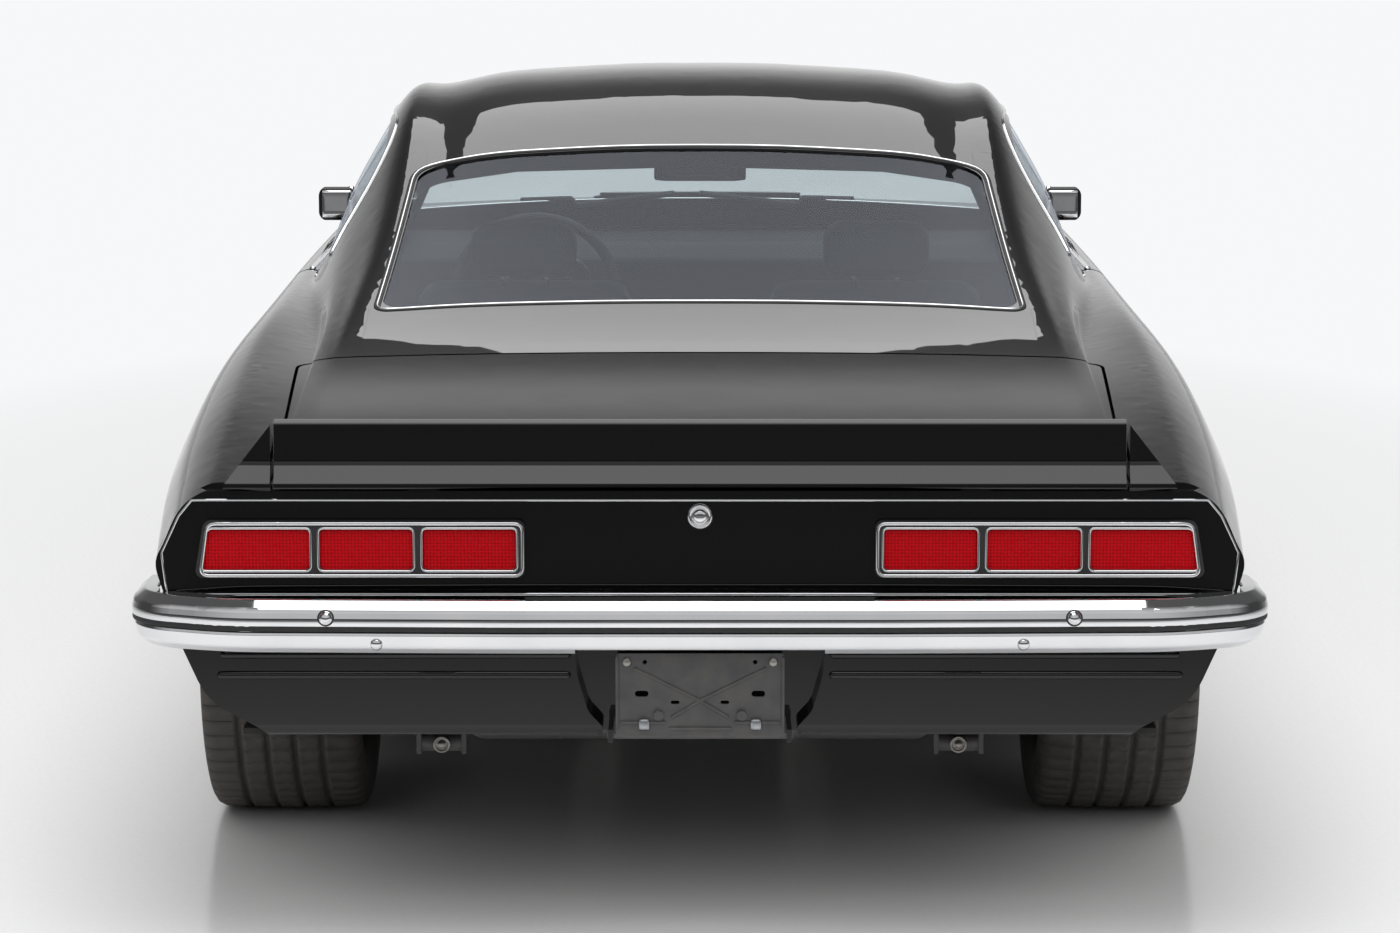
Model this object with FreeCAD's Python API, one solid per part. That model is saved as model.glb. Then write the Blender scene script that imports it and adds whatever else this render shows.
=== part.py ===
"""A two-door muscle car of the late 1960s, built as separate body panels, glass, chassis, cabin and wheels.

The car faces -Y, its left side is +X and +Z is up. The origin is on the ground at the middle of its box.
All lengths are in millimetres. Stations along the car are numbers from 0 to 5: 0 nose, 1 front axle,
2 front edge of the door, 3 rear edge of the door, 4 rear axle, 5 tail panel.
"""

import FreeCAD, Part
import math
import os

from FreeCAD import Vector

# Driving dimensions of the whole car
LENGTH = 4724.0
FRONT_AXLE_Y = -1430.0
WHEELBASE = 2743.0
FRONT_OVERHANG = 932.0
BUMPER_REACH = 66.0
TAIL_REACH = 98.0
DOOR_FRONT_FROM_AXLE = 595.0
DOOR_LENGTH = 1210.0

# Wheels
FRONT_TRACK = 1500.0
REAR_TRACK = 1500.0
FRONT_TYRE_RADIUS = 330.0
REAR_TYRE_RADIUS = 335.0
FRONT_TYRE_WIDTH = 245.0
REAR_TYRE_WIDTH = 284.0
RIM_RADIUS = 229.0
ARCH_CLEARANCE = 62.0
ARCH_TOP_CLEARANCE = 34.0

# Walls, gaps and clearances
PANEL = 22.0
SHEET = 6.0
SEAT_GAP = 0.3
GLASS = 5.0
GLASS_RECESS = 4.0
ROOF_WALL = 38.0
FLOOR_Z = 232.0
DOOR_INNER_X = 752.0
WIDE = 1200.0
TALL = 1600.0

# Stations of the main cuts, in millimetres along the car
FRONT_END_Y = FRONT_AXLE_Y - FRONT_OVERHANG
REAR_END_Y = FRONT_END_Y + LENGTH
NOSE_Y = FRONT_END_Y + BUMPER_REACH
TAIL_Y = REAR_END_Y - TAIL_REACH
REAR_AXLE_Y = FRONT_AXLE_Y + WHEELBASE
DOOR_FRONT_Y = FRONT_AXLE_Y + DOOR_FRONT_FROM_AXLE
DOOR_REAR_Y = DOOR_FRONT_Y + DOOR_LENGTH
ANCHORS = [NOSE_Y, FRONT_AXLE_Y, DOOR_FRONT_Y, DOOR_REAR_Y, REAR_AXLE_Y, TAIL_Y]
WHEELS = [
    ("front", FRONT_AXLE_Y, FRONT_TYRE_RADIUS, FRONT_TYRE_WIDTH, FRONT_TRACK),
    ("rear", REAR_AXLE_Y, REAR_TYRE_RADIUS, REAR_TYRE_WIDTH, REAR_TRACK),
]

# Shape of the body along its stations: (station, size)
SIDE_BULGE = [
    (0, 846), (0.35, 884), (1, 924), (1.6, 910), (2.4, 898), (3.1, 908), (4, 936), (4.6, 914),
    (5, 880),
]
SHOULDER_IN = [(0, 792), (1, 838), (2, 830), (3, 822), (3.56, 812), (4.18, 814), (5, 800)]
SHOULDER_Z = [
    (0, 742), (0.4, 798), (1, 860), (2, 890), (3, 897), (3.56, 898), (3.9, 886), (4.2, 858),
    (4.6, 808), (5, 742),
]
BULGE_Z = [(0, 590), (1, 612), (2, 600), (3, 600), (4, 625), (5, 570)]
SILL_Z = [
    (0, 300), (0.5, 280), (1, 240), (1.6, 200), (2, 192), (3, 192), (3.4, 200), (4, 250), (4.6, 300),
    (5, 320),
]
HOOD_Z = [(0, 768), (0.35, 815), (1, 884), (1.6, 922), (2, 938), (2.4, 944)]
ROOF_Z = [
    (2.2, 1218), (2.45, 1274), (2.66, 1300), (2.94, 1277), (3.27, 1165), (3.6, 1046), (3.92, 938),
    (4.18, 866), (4.55, 815), (5, 750),
]
ROOF_DROP = [
    (1.9, 4), (2.0, 14), (2.15, 60), (2.3, 88), (2.45, 74), (2.66, 52), (3, 50), (3.27, 44), (3.6, 36),
    (3.92, 20), (4.18, 9), (4.5, 6), (5, 6),
]
RAIL_X = [
    (1.9, 712), (2.0, 700), (2.2, 640), (2.45, 598), (2.66, 604), (3, 606), (3.27, 604), (3.6, 614),
    (3.92, 634), (4.18, 646), (4.5, 644), (5, 636),
]
BELT_X = [
    (2.0, 785), (2.5, 784), (3, 780), (3.3, 768), (3.56, 748), (3.92, 720), (4.18, 712), (4.5, 710),
    (5, 706),
]
BELT_Z = [
    (2.0, 896), (2.5, 902), (3, 904), (3.3, 902), (3.56, 893), (3.92, 868), (4.18, 851), (4.6, 806),
    (5, 745),
]
WINDSHIELD_BASE_Y = -800.0
WINDSHIELD_BASE_Z = 922.0
WINDSHIELD_SLOPE = 0.617
HEADER_ROUNDNESS = 26.0
CREASE = 9.0
FRONT_STATIONS = [-0.08, 0.12, 0.35, 0.6, 0.85, 1.1, 1.35, 1.6, 1.85, 2.1, 2.4]
UPPER_STATIONS = [
    1.9, 2.0, 2.1, 2.2, 2.3, 2.38, 2.46, 2.56, 2.7, 2.85, 3.0, 3.15, 3.3, 3.45, 3.6, 3.75, 3.9, 4.05,
    4.2, 4.4, 4.6, 4.8, 5.08,
]


def y_of(s):
    """Position along the car of a station number."""
    i = min(max(int(math.floor(s)), 0), len(ANCHORS) - 2)
    return ANCHORS[i] + (s - i) * (ANCHORS[i + 1] - ANCHORS[i])


def station(y):
    """Station number of a position along the car."""
    for i in range(len(ANCHORS) - 1):
        if y < ANCHORS[i + 1] or i == len(ANCHORS) - 2:
            return i + (y - ANCHORS[i]) / (ANCHORS[i + 1] - ANCHORS[i])


def natural_spline(knots):
    """A smooth curve along the car through (station, value) knots, as a function of the station."""
    xs = [y_of(k[0]) for k in knots]
    ys = [float(k[1]) for k in knots]
    n = len(xs) - 1
    h = [xs[i + 1] - xs[i] for i in range(n)]
    lower, diag, upper, right = [0.0], [1.0], [0.0], [0.0]
    for i in range(1, n):
        lower.append(h[i - 1])
        diag.append(2 * (h[i - 1] + h[i]))
        upper.append(h[i])
        right.append(6 * ((ys[i + 1] - ys[i]) / h[i] - (ys[i] - ys[i - 1]) / h[i - 1]))
    lower.append(0.0)
    diag.append(1.0)
    upper.append(0.0)
    right.append(0.0)
    for i in range(1, n + 1):
        w = lower[i] / diag[i - 1]
        diag[i] -= w * upper[i - 1]
        right[i] -= w * right[i - 1]
    bend = [0.0] * (n + 1)
    for i in range(n, -1, -1):
        bend[i] = (right[i] - (upper[i] * bend[i + 1] if i < n else 0.0)) / diag[i]

    def value(s):
        y = y_of(s)
        i = min(max(sum(1 for x in xs[1:-1] if y > x), 0), n - 1)
        a, b = xs[i + 1] - y, y - xs[i]
        return (
            bend[i] * a**3 / (6 * h[i])
            + bend[i + 1] * b**3 / (6 * h[i])
            + (ys[i] / h[i] - bend[i] * h[i] / 6) * a
            + (ys[i + 1] / h[i] - bend[i + 1] * h[i] / 6) * b
        )

    return value


bulge_x = natural_spline(SIDE_BULGE)
shoulder_in = natural_spline(SHOULDER_IN)
shoulder_z = natural_spline(SHOULDER_Z)
bulge_z = natural_spline(BULGE_Z)
sill_z = natural_spline(SILL_Z)
hood_z = natural_spline(HOOD_Z)
roof_z = natural_spline(ROOF_Z)
roof_drop = natural_spline(ROOF_DROP)
rail_x = natural_spline(RAIL_X)
belt_x = natural_spline(BELT_X)
belt_z = natural_spline(BELT_Z)


def soft_min(a, b, r):
    """The smaller of two heights, with the corner between them rounded."""
    return 0.5 * (a + b - math.sqrt((a - b) ** 2 + r * r))


def bell(s, centre, reach):
    """1 at the centre, falling smoothly to 0 at the given reach."""
    t = min(abs(s - centre) / reach, 1.0)
    return (1 - t * t) ** 2


def crease(s):
    """Height of the speed line behind each wheel arch, as a share of its full height."""
    front = bell(s, 1.15, 1.35) if s > 1.15 else bell(s, 1.15, 0.75)
    rear = 1.0 if s > 3.75 else bell(s, 3.75, 0.75)
    return max(front, rear) * CREASE


def side_points(s):
    """Points of the body's side from the sill up to the shoulder, as (x, z)."""
    w, zb, zs, x_in = bulge_x(s), bulge_z(s), shoulder_z(s), shoulder_in(s)
    sill = sill_z(s)
    step = crease(s)
    z_line = zb + 42
    low = zb - sill
    points = [(w - 48, sill), (w - 26, sill + 0.3 * low), (w - 9 - 0.3 * step, sill + 0.66 * low)]
    points.append((w - 4 - 0.8 * step, z_line - 30))
    points.append((w - 5 + 0.2 * step, z_line - 4))

    def above(share):
        z = z_line + share * (zs - z_line)
        return w - 6 - (w - 6 - x_in - 10) * share**1.9, z

    points += [above(0.3), above(0.58), above(0.82)]
    points.append((x_in + 2, zs - 5))
    return points


def hood_points(s):
    """Points over the fender top and hood from the shoulder to the middle."""
    x_in, zs, zc = shoulder_in(s), shoulder_z(s), hood_z(s)
    points = [(x_in - 26, zs + 5)]
    for share in (0.87, 0.68, 0.45, 0.22, 0.0):
        x = (x_in - 10) * share
        points.append((x, zs + 7 + (zc - zs - 7) * (1 - share**2.2)))
    return points


def top_z(s):
    """Height of the car's middle line over windshield, roof, rear window and deck."""
    glass = WINDSHIELD_BASE_Z + (y_of(s) - WINDSHIELD_BASE_Y) * WINDSHIELD_SLOPE
    return soft_min(glass, roof_z(max(s, 2.2)), HEADER_ROUNDNESS)


def cabin_points(s):
    """Points over the belt, window side, roof rail and roof from the shoulder to the middle."""
    x_in, zs = shoulder_in(s), shoulder_z(s)
    xb, zb, xr, drop = belt_x(s), belt_z(s), rail_x(s), roof_drop(s)
    zt = top_z(s)
    zr = max(zt - drop, zb - 40)
    bow = 0.055 * max(zr - zb, 0)
    points = [(x_in - 18, zs + 1), (xb, zb)]
    for share in (0.3, 0.68):
        out = 4 * share * (1 - share) * bow
        points.append((xb + (xr - xb) * share + out, zb + (zr - zb) * share + 0.3 * out))
    points.append((xr, zr))
    for share in (0.93, 0.75, 0.5, 0.25, 0.0):
        points.append((xr * share, zt - (zt - zr) * share**2.4))
    return points


def inset_points(points, inset):
    """Half-section points moved inwards at right angles to the outline."""
    result = []
    last = len(points) - 1
    for i, (x, z) in enumerate(points):
        xa, za = points[max(i - 1, 0)]
        xb, zb = points[min(i + 1, last)]
        dx, dz = xb - xa, zb - za
        length = math.hypot(dx, dz)
        if i == last:
            result.append((0.0, z - inset))
        else:
            result.append((x - inset * dz / length, z + inset * dx / length))
    x, z = result[0]
    result[0] = (x, z - 80)
    return result


def outline(s, upper, inset):
    """Points of a cross-section's skin at a station, from the left sill over the top to the right sill."""
    half = side_points(s) + upper(s)
    if inset:
        half = inset_points(half, inset)
    y = y_of(s)
    return [Vector(x, y, z) for x, z in half] + [Vector(-x, y, z) for x, z in reversed(half[:-1])]


def shared_parameters(outlines):
    """Mean share of each point along the outlines, so that all sections get the same knots."""
    shares = [0.0] * len(outlines[0])
    for points in outlines:
        lengths = [0.0]
        for a, b in zip(points, points[1:]):
            lengths.append(lengths[-1] + (b - a).Length)
        for i, length in enumerate(lengths):
            shares[i] += length / lengths[-1] / len(outlines)
    return shares


def body_loft(stations, upper, inset=0.0):
    """Closed solid through the cross-sections at the stations."""
    outlines = [outline(s, upper, inset) for s in stations]
    shares = shared_parameters(outlines)
    wires = []
    for points in outlines:
        skin = Part.BSplineCurve()
        skin.interpolate(Points=points, Parameters=shares)
        bottom = Part.LineSegment(points[-1], points[0])
        wires.append(Part.Wire([skin.toShape(), bottom.toShape()]))
    return Part.makeLoft(wires, True, False, False, 5)


def save(name, shape):
    """Write one piece, with the car centred on its length."""
    placed = moved(shape, 0, -(FRONT_END_Y + REAR_END_Y) / 2, 0)
    placed.exportStep("parts/" + name + ".step")


def save_pair(name, left):
    """The left piece, and its mirror image on the right side."""
    save(name + "_left", left)
    save(name + "_right", mirrored(left))


# Solid and outline helpers
def box(x0, x1, y0, y1, z0, z1):
    return Part.makeBox(x1 - x0, y1 - y0, z1 - z0, Vector(x0, y0, z0))


def rod(a, b, radius):
    """A round bar from point a to point b."""
    a, b = Vector(*a), Vector(*b)
    return Part.makeCylinder(radius, (b - a).Length, a, b - a)


def rounded_wire(points, radius):
    """Closed outline through the corner points, each corner an arc of the given radius or radii."""
    n = len(points)
    radii = radius if isinstance(radius, (list, tuple)) else [radius] * n
    edges, ends = [], []
    for i in range(n):
        here, before, after = points[i], points[i - 1], points[(i + 1) % n]
        u, v = (before - here).normalize(), (after - here).normalize()
        angle = u.getAngle(v)
        if radii[i] < 0.01 or angle > math.pi - 0.02:
            ends.append((here, here, None))
            continue
        cut = radii[i] / math.tan(angle / 2)
        middle = here + (u + v).normalize() * (radii[i] / math.sin(angle / 2) - radii[i])
        ends.append((here + u * cut, here + v * cut, middle))
    for i in range(n):
        first, last, middle = ends[i]
        if middle is not None:
            edges.append(Part.Arc(first, middle, last).toShape())
        start = ends[(i + 1) % n][0]
        if (start - last).Length > 1e-6:
            edges.append(Part.LineSegment(last, start).toShape())
    return Part.Wire(edges)


def open_wire(points, radii):
    """Open path through the points with its inner corners rounded."""
    edges, last = [], points[0]
    for i in range(1, len(points) - 1):
        here = points[i]
        u, v = (points[i - 1] - here).normalize(), (points[i + 1] - here).normalize()
        angle = u.getAngle(v)
        cut = radii[i] / math.tan(angle / 2)
        middle = here + (u + v).normalize() * (radii[i] / math.sin(angle / 2) - radii[i])
        edges.append(Part.LineSegment(last, here + u * cut).toShape())
        last = here + v * cut
        edges.append(Part.Arc(here + u * cut, middle, last).toShape())
    edges.append(Part.LineSegment(last, points[-1]).toShape())
    return Part.Wire(edges)


def prism(wire, direction):
    return Part.Face(wire).extrude(direction)


def side_prism(points, x0, x1, radius=0.0):
    """Outline in (y, z), extruded across the car."""
    return prism(rounded_wire([Vector(x0, y, z) for y, z in points], radius), Vector(x1 - x0, 0, 0))


def plan_prism(points, z0, z1, radius=0.0):
    """Outline in (x, y), extruded upwards."""
    return prism(rounded_wire([Vector(x, y, z0) for x, y in points], radius), Vector(0, 0, z1 - z0))


def front_prism(points, y0, y1, radius=0.0):
    """Outline in (x, z), extruded along the car."""
    return prism(rounded_wire([Vector(x, y0, z) for x, z in points], radius), Vector(0, y1 - y0, 0))


def mirrored(shape):
    return shape.mirror(Vector(0, 0, 0), Vector(1, 0, 0))


def both(shape):
    """The shape and its mirror image, as solids that don't touch."""
    return Part.makeCompound([shape, mirrored(shape)])


def largest(shape):
    return max(shape.Solids, key=lambda solid: solid.Volume)


def moved(shape, x, y, z):
    copy = shape.copy()
    copy.translate(Vector(x, y, z))
    return copy


# Panel seams, seen from above and from the side
HOOD_FRONT_Y = NOSE_Y + 128
HOOD_REAR_Y = DOOR_FRONT_Y - 27
HOOD_FRONT_X = 640.0
HOOD_REAR_X = 700.0
HOOD_RISE = 12.0
HOOD_RISE_FRONT_X = 170.0
HOOD_RISE_REAR_X = 240.0
GRILLE_HALF_WIDTH = 735.0
GRILLE_BOTTOM = 512.0
GRILLE_TOP = 712.0
GRILLE_WALL = 26.0
COWL_REAR_Y = DOOR_FRONT_Y + 45
BELT = 900.0
SILL_TOP = 250.0
DOOR_BOTTOM = SILL_TOP + 6
DOOR_GAP = 6.0
ROOF_SEAM_Y = 560.0
ROOF_SEAM_X = 545.0
REAR_GLASS_TOP_Y = 622.0
REAR_GLASS_BOTTOM_Y = 1246.0
REAR_GLASS_TOP_X = 556.0
REAR_GLASS_BOTTOM_X = 590.0
DECK_HALF_WIDTH = 612.0
LID_FRONT_Y = 1485.0
LID_FRONT_X = 716.0
LID_REAR_X = 682.0
LID_SKIN = 26.0
TAIL_TOP_Z = 741.0
LID_BOTTOM_Z = TAIL_TOP_Z + 6
TAIL_BOTTOM_Z = 566.0
VALANCE_BOTTOM_Z = 336.0
CABIN_HALF_WIDTH = 745.0
CABIN_REAR_Y = 1080.0
TRAY_Z = 884.0
TRUNK_FRONT_Y = 1104.0
TRUNK_FLOOR_Z = 345.0
AXLE_HUMP_Z = 455.0
HOUSE_INNER_X = 590.0
HOUSE_WALL = 8.0
TRUNK_SIDE_X = 760.0
TRUNK_MOUTH_X = 640.0
FIREWALL_Y = DOOR_FRONT_Y - 3
TUNNEL_HALF_WIDTH = 118.0
SHELF_HALF_WIDTH = 530.0

# Plate holder
BRACKET_Y = TAIL_Y + 34
BRACKET_AXIS_Z = 347.0
BRACKET_PIN = 6.0
LUG_X = 140.0
PLATE_HOLE_SPACING = 177.8

# Seats of bumpers and lids
BUMPER_ARM_X = 400.0
BUMPER_HALF_WIDTH = 926.0
BUMPER_DEPTH = 46.0
BUMPER_END_Y = 2110.0
PLATE_NOTCH_X = 200.0
REAR_BLADE_Z = 488.0
# Bumper sections: (depth outwards, height) of each corner, then the corners' radii
REAR_BLADE = (
    [(2, 578), (24, 576), (42, 562), (46, 545), (44, 531), (38, 527), (41, 520), (36, 500),
     (22, 488), (6, 488), (6, 494), (26, 504), (30, 545), (20, 564), (2, 570)],
    [2, 8, 14, 20, 2, 1.5, 2, 14, 8, 2, 2, 8, 16, 8, 2],
)
FRONT_BLADE = (
    [(2, 508), (24, 506), (42, 492), (46, 474), (42, 446), (28, 424),
     (6, 420), (6, 426), (22, 432), (30, 474), (20, 494), (2, 500)],
    [2, 8, 16, 30, 24, 12, 2, 2, 8, 30, 8, 2],
)
MIRROR_X = 790.0
MIRROR_Y = DOOR_FRONT_Y + 235
MIRROR_Z = 906.0
BEADS = [(472.0, 770.0), (438.0, 776.0)]
BEAD_START_X = 216.0
BEAD_RADIUS = 7.0
RECESS_DEPTH = 60.0
RECESS_WALL = 8.0
SPOKE_ROOT = 34.0
SPOKE_TIP = 27.0
PLATE_HOLE_Z = 468.0
FRONT_ARM_X = 200.0
STOP_GAP = 0.4
LID_STOP_X = 420.0
HOOD_STOP_X = 600.0

# Hinges
DOOR_AXIS_X = 870.0
DOOR_AXIS_Y = DOOR_FRONT_Y + 30
DOOR_HINGE_Z = (450.0, 760.0)
DOOR_RELIEF = 47.5
APRON_X = 396.0
PIN_RADIUS = 6.0
EYE_RADIUS = 11.0


def arch_outline(y, z, tyre_radius, grow=0.0):
    """Flat-topped wheel opening in (y, z) round a wheel's centre."""
    side = tyre_radius + ARCH_CLEARANCE + grow
    top = z + tyre_radius + ARCH_TOP_CLEARANCE + grow
    half = side * 0.63
    front = [(y - side, -60), (y - side, z + 150), (y - half, top)]
    return front + [(2 * y - a, b) for a, b in reversed(front)]


def arch_prism(y, z, tyre_radius, x0, x1, grow=0.0):
    return side_prism(arch_outline(y, z, tyre_radius, grow), x0, x1, [0, 110, 150, 150, 110, 0])


FRONT = body_loft(FRONT_STATIONS, hood_points)
FRONT_INSIDE = body_loft(FRONT_STATIONS, hood_points, PANEL)
UPPER = body_loft(UPPER_STATIONS, cabin_points)


def hood_outline(grow):
    fx, rx = HOOD_FRONT_X + grow, HOOD_REAR_X + grow
    fy, ry = HOOD_FRONT_Y - 1.5 * grow, HOOD_REAR_Y + grow
    return [(-fx, fy), (fx, fy), (rx, ry), (-rx, ry)]


def lid_outline(grow):
    fx, rx = LID_FRONT_X + grow, LID_REAR_X + grow
    fy = LID_FRONT_Y - grow
    return [(-fx, fy), (fx, fy), (rx, TAIL_Y + 60), (-rx, TAIL_Y + 60)]


def fender():
    """Left fender: skin, rear edge relieved for the door, wheelhouse roof and inner apron."""
    region = box(0, WIDE, HOOD_FRONT_Y - 9 + SEAT_GAP, DOOR_FRONT_Y - DOOR_GAP, 0, TALL)
    skin = FRONT.common(region).cut(FRONT_INSIDE)
    skin = skin.cut(plan_prism(hood_outline(DOOR_GAP), 300, TALL, [20, 20, 0, 0]))
    skin = skin.cut(box(0, HOOD_REAR_X + DOOR_GAP, HOOD_REAR_Y - 100, DOOR_FRONT_Y, 300, TALL))
    house = arch_prism(FRONT_AXLE_Y, FRONT_TYRE_RADIUS, FRONT_TYRE_RADIUS, APRON_X, WIDE, SHEET)
    house = house.common(FRONT)
    shape = skin.fuse(house)
    shape = shape.cut(arch_prism(FRONT_AXLE_Y, FRONT_TYRE_RADIUS, FRONT_TYRE_RADIUS, APRON_X + SHEET, WIDE))
    arms = box(0, APRON_X + 2 * SHEET, FRONT_AXLE_Y - 135, FRONT_AXLE_Y + 135, 0, FRONT_TYRE_RADIUS + 170)
    shape = shape.cut(arms)
    shape = shape.cut(Part.makeCylinder(DOOR_RELIEF, TALL, Vector(DOOR_AXIS_X, DOOR_AXIS_Y, 0)))
    shape = shape.cut(box(0, WIDE, HOOD_FRONT_Y - 60, DOOR_FRONT_Y, -100, 190))
    return largest(shape)


def nose_panel():
    """Front end round the grille, with the valance under the bumper."""
    outline = [(-900, HOOD_FRONT_Y - 9), (-900, NOSE_Y + 110), (-760, NOSE_Y + 30)]
    outline += [(-300, NOSE_Y), (300, NOSE_Y)]
    outline += [(760, NOSE_Y + 30), (900, NOSE_Y + 110), (900, HOOD_FRONT_Y - 9)]
    shape = FRONT.common(plan_prism(outline, 250, TALL, [0, 60, 200, 400, 400, 200, 60, 0]))
    inside = [(x * 0.96, y + (GRILLE_WALL if y < HOOD_FRONT_Y - 10 else 10)) for x, y in outline]
    shape = shape.cut(FRONT_INSIDE.common(plan_prism(inside, 0, TALL, [0, 60, 200, 400, 400, 200, 60, 0])))
    corners = [(-GRILLE_HALF_WIDTH, GRILLE_BOTTOM), (GRILLE_HALF_WIDTH, GRILLE_BOTTOM)]
    corners += [(GRILLE_HALF_WIDTH, GRILLE_TOP), (-GRILLE_HALF_WIDTH, GRILLE_TOP)]
    shape = shape.cut(front_prism(corners, NOSE_Y - 100, HOOD_FRONT_Y - 60, 30))
    slots = box(-420, 420, NOSE_Y - 100, HOOD_FRONT_Y - 40, 330, 380)
    return largest(shape.cut(slots))


def hood():
    """Hood with its raised middle, in two low steps."""
    top = FRONT.common(plan_prism(hood_outline(0), 500, TALL, [16, 16, 0, 0]))
    front, rear = HOOD_FRONT_Y + 110, HOOD_REAR_Y - 40
    for rise, grow in ((5.0, 14.0), (HOOD_RISE, 0.0)):
        fx, rx = HOOD_RISE_FRONT_X + grow, HOOD_RISE_REAR_X + grow
        plan = [(-fx, front - grow), (fx, front - grow), (rx, rear + grow), (-rx, rear + grow)]
        top = top.fuse(plan_prism(plan, 600, TALL, [70, 70, 30, 30]).common(moved(FRONT, 0, 0, rise)))
    return largest(top.cut(moved(FRONT, 0, 0, -LID_SKIN)).removeSplitter())


def cowl_panel():
    """Cowl under the windshield, firewall and the pillars that carry the doors."""
    top = FRONT.common(box(-705.7, 705.7, HOOD_REAR_Y + DOOR_GAP, COWL_REAR_Y, 870, TALL))
    wall = box(-CABIN_HALF_WIDTH, CABIN_HALF_WIDTH, FIREWALL_Y - 14, FIREWALL_Y, FLOOR_Z, 880)
    wall = wall.cut(box(-TUNNEL_HALF_WIDTH, TUNNEL_HALF_WIDTH, FIREWALL_Y - 40, FIREWALL_Y + 10, 0, 420))
    shape = top.fuse(wall)
    for side in (1, -1):
        post = box(690, 790, DOOR_FRONT_Y - 95, DOOR_FRONT_Y - 12, SILL_TOP + 0.3, 852)
        for z in DOOR_HINGE_Z:
            post = post.fuse(hinge_arm(z))
        stop = box(HOOD_STOP_X, HOOD_STOP_X + 40, HOOD_REAR_Y - 20, FIREWALL_Y - 2, 820, TALL)
        stop = stop.common(moved(FRONT, 0, 0, -LID_SKIN - STOP_GAP))
        for piece in (post, stop):
            shape = shape.fuse(piece if side > 0 else mirrored(piece))
    return shape.removeSplitter()


def hinge_arm(z):
    """Hinge leaf of the left door with its eye round the pin."""
    eye = Part.makeCylinder(EYE_RADIUS, 30, Vector(DOOR_AXIS_X, DOOR_AXIS_Y, z - 15))
    end = (782.0, DOOR_AXIS_Y - 62)
    dx, dy = DOOR_AXIS_X - end[0], DOOR_AXIS_Y - end[1]
    length = math.hypot(dx, dy)
    nx, ny = -dy / length * 6, dx / length * 6
    corners = [(end[0] - nx, end[1] - ny), (end[0] + nx, end[1] + ny)]
    corners += [(DOOR_AXIS_X + nx, DOOR_AXIS_Y + ny), (DOOR_AXIS_X - nx, DOOR_AXIS_Y - ny)]
    arm = plan_prism(corners, z - 13, z + 13)
    bore = Part.makeCylinder(PIN_RADIUS + SEAT_GAP, 60, Vector(DOOR_AXIS_X, DOOR_AXIS_Y, z - 30))
    return eye.fuse(arm).cut(bore)


def door():
    """Left door, as thick as the whole door, with hinge pockets and pins."""
    outline = [(DOOR_INNER_X, DOOR_FRONT_Y + 3), (WIDE, DOOR_FRONT_Y + 3), (WIDE, DOOR_REAR_Y - 3)]
    outline += [(882, DOOR_REAR_Y - 3), (DOOR_INNER_X, DOOR_REAR_Y - 24)]
    shape = UPPER.common(plan_prism(outline, DOOR_BOTTOM, BELT))
    for z in DOOR_HINGE_Z:
        x0, x1 = DOOR_AXIS_X - 62, DOOR_AXIS_X + EYE_RADIUS + 5
        pocket = box(x0, x1, DOOR_FRONT_Y - 20, DOOR_AXIS_Y + 20, z - 21, z + 21)
        pin = Part.makeCylinder(PIN_RADIUS, 60, Vector(DOOR_AXIS_X, DOOR_AXIS_Y, z - 30))
        shape = shape.cut(pocket).fuse(pin)
    return largest(shape.removeSplitter())


def mirror():
    """Left outside mirror: rounded head on a slim foot on top of the door."""
    y, z = MIRROR_Y, MIRROR_Z
    x0, x1 = MIRROR_X, MIRROR_X + 84
    profile = [(y, z), (y, z + 80), (y - 44, z + 72), (y - 62, z + 40), (y - 44, z + 8)]
    head = side_prism(profile, x0, x1, [8, 8, 26, 30, 26])
    ends = front_prism([(x0, z), (x1, z), (x1, z + 80), (x0, z + 80)], y - 80, y + 10, 22)
    base = [(x0 + 12, y - 44), (x0 + 34, y - 44), (x0 + 34, y - 14), (x0 + 12, y - 14)]
    foot = plan_prism(base, z - 40, z + 20, 8)
    shape = head.common(ends).fuse(foot)
    return largest(shape.cut(moved(UPPER, SEAT_GAP, 0, SEAT_GAP)))


SIDE_WINDOW = [(-668, 906), (-420, 1050), (-300, 1122), (-160, 1176), (0, 1202), (250, 1194)]
SIDE_WINDOW += [(400, 1164), (480, 1130), (560, 1050), (640, 906)]
DOOR_GLASS_REAR = [(345, 907), (338, 1190)]


def side_window_prism(shrink=0.0):
    centre_y, centre_z = 0.0, 1010.0
    points = []
    for y, z in SIDE_WINDOW:
        dy, dz = y - centre_y, z - centre_z
        length = math.hypot(dy, dz)
        points.append((y - dy / length * shrink, z - dz / length * shrink))
    return side_prism(points, 480, 900, [0, 60, 120, 160, 300, 300, 90, 60, 60, 0])


def side_glass_sheet():
    """Thin sheet just inside the left window side of the cabin."""
    zone = UPPER.common(box(480, WIDE, -720, 680, 880, TALL))
    outer = moved(zone, -GLASS_RECESS * 0.9, 0, -GLASS_RECESS * 0.45)
    inner = moved(zone, -(GLASS_RECESS + GLASS) * 0.9, 0, -(GLASS_RECESS + GLASS) * 0.45)
    return outer.common(box(500, 900, -700, 660, 885, 1260)).cut(inner)


SIDE_GLASS = side_glass_sheet()


def cabin_inside(s, low):
    """Half polygon of the hollow inside the cabin at a station."""
    top = top_z(s) - ROOF_WALL
    rail = max(top_z(s) - roof_drop(s), belt_z(s) - 40) - ROOF_WALL * 0.85
    shoulder = min(belt_z(s) - 12, top - 6)
    rail = min(max(rail, shoulder + 4), top - 2)
    return [(CABIN_HALF_WIDTH, low), (CABIN_HALF_WIDTH, shoulder - 60), (belt_x(s) - 48, shoulder),
            (rail_x(s) - 42, rail), (rail_x(s) * 0.6, top - 0.25 * (top - rail)), (0.0, top)]


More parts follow.
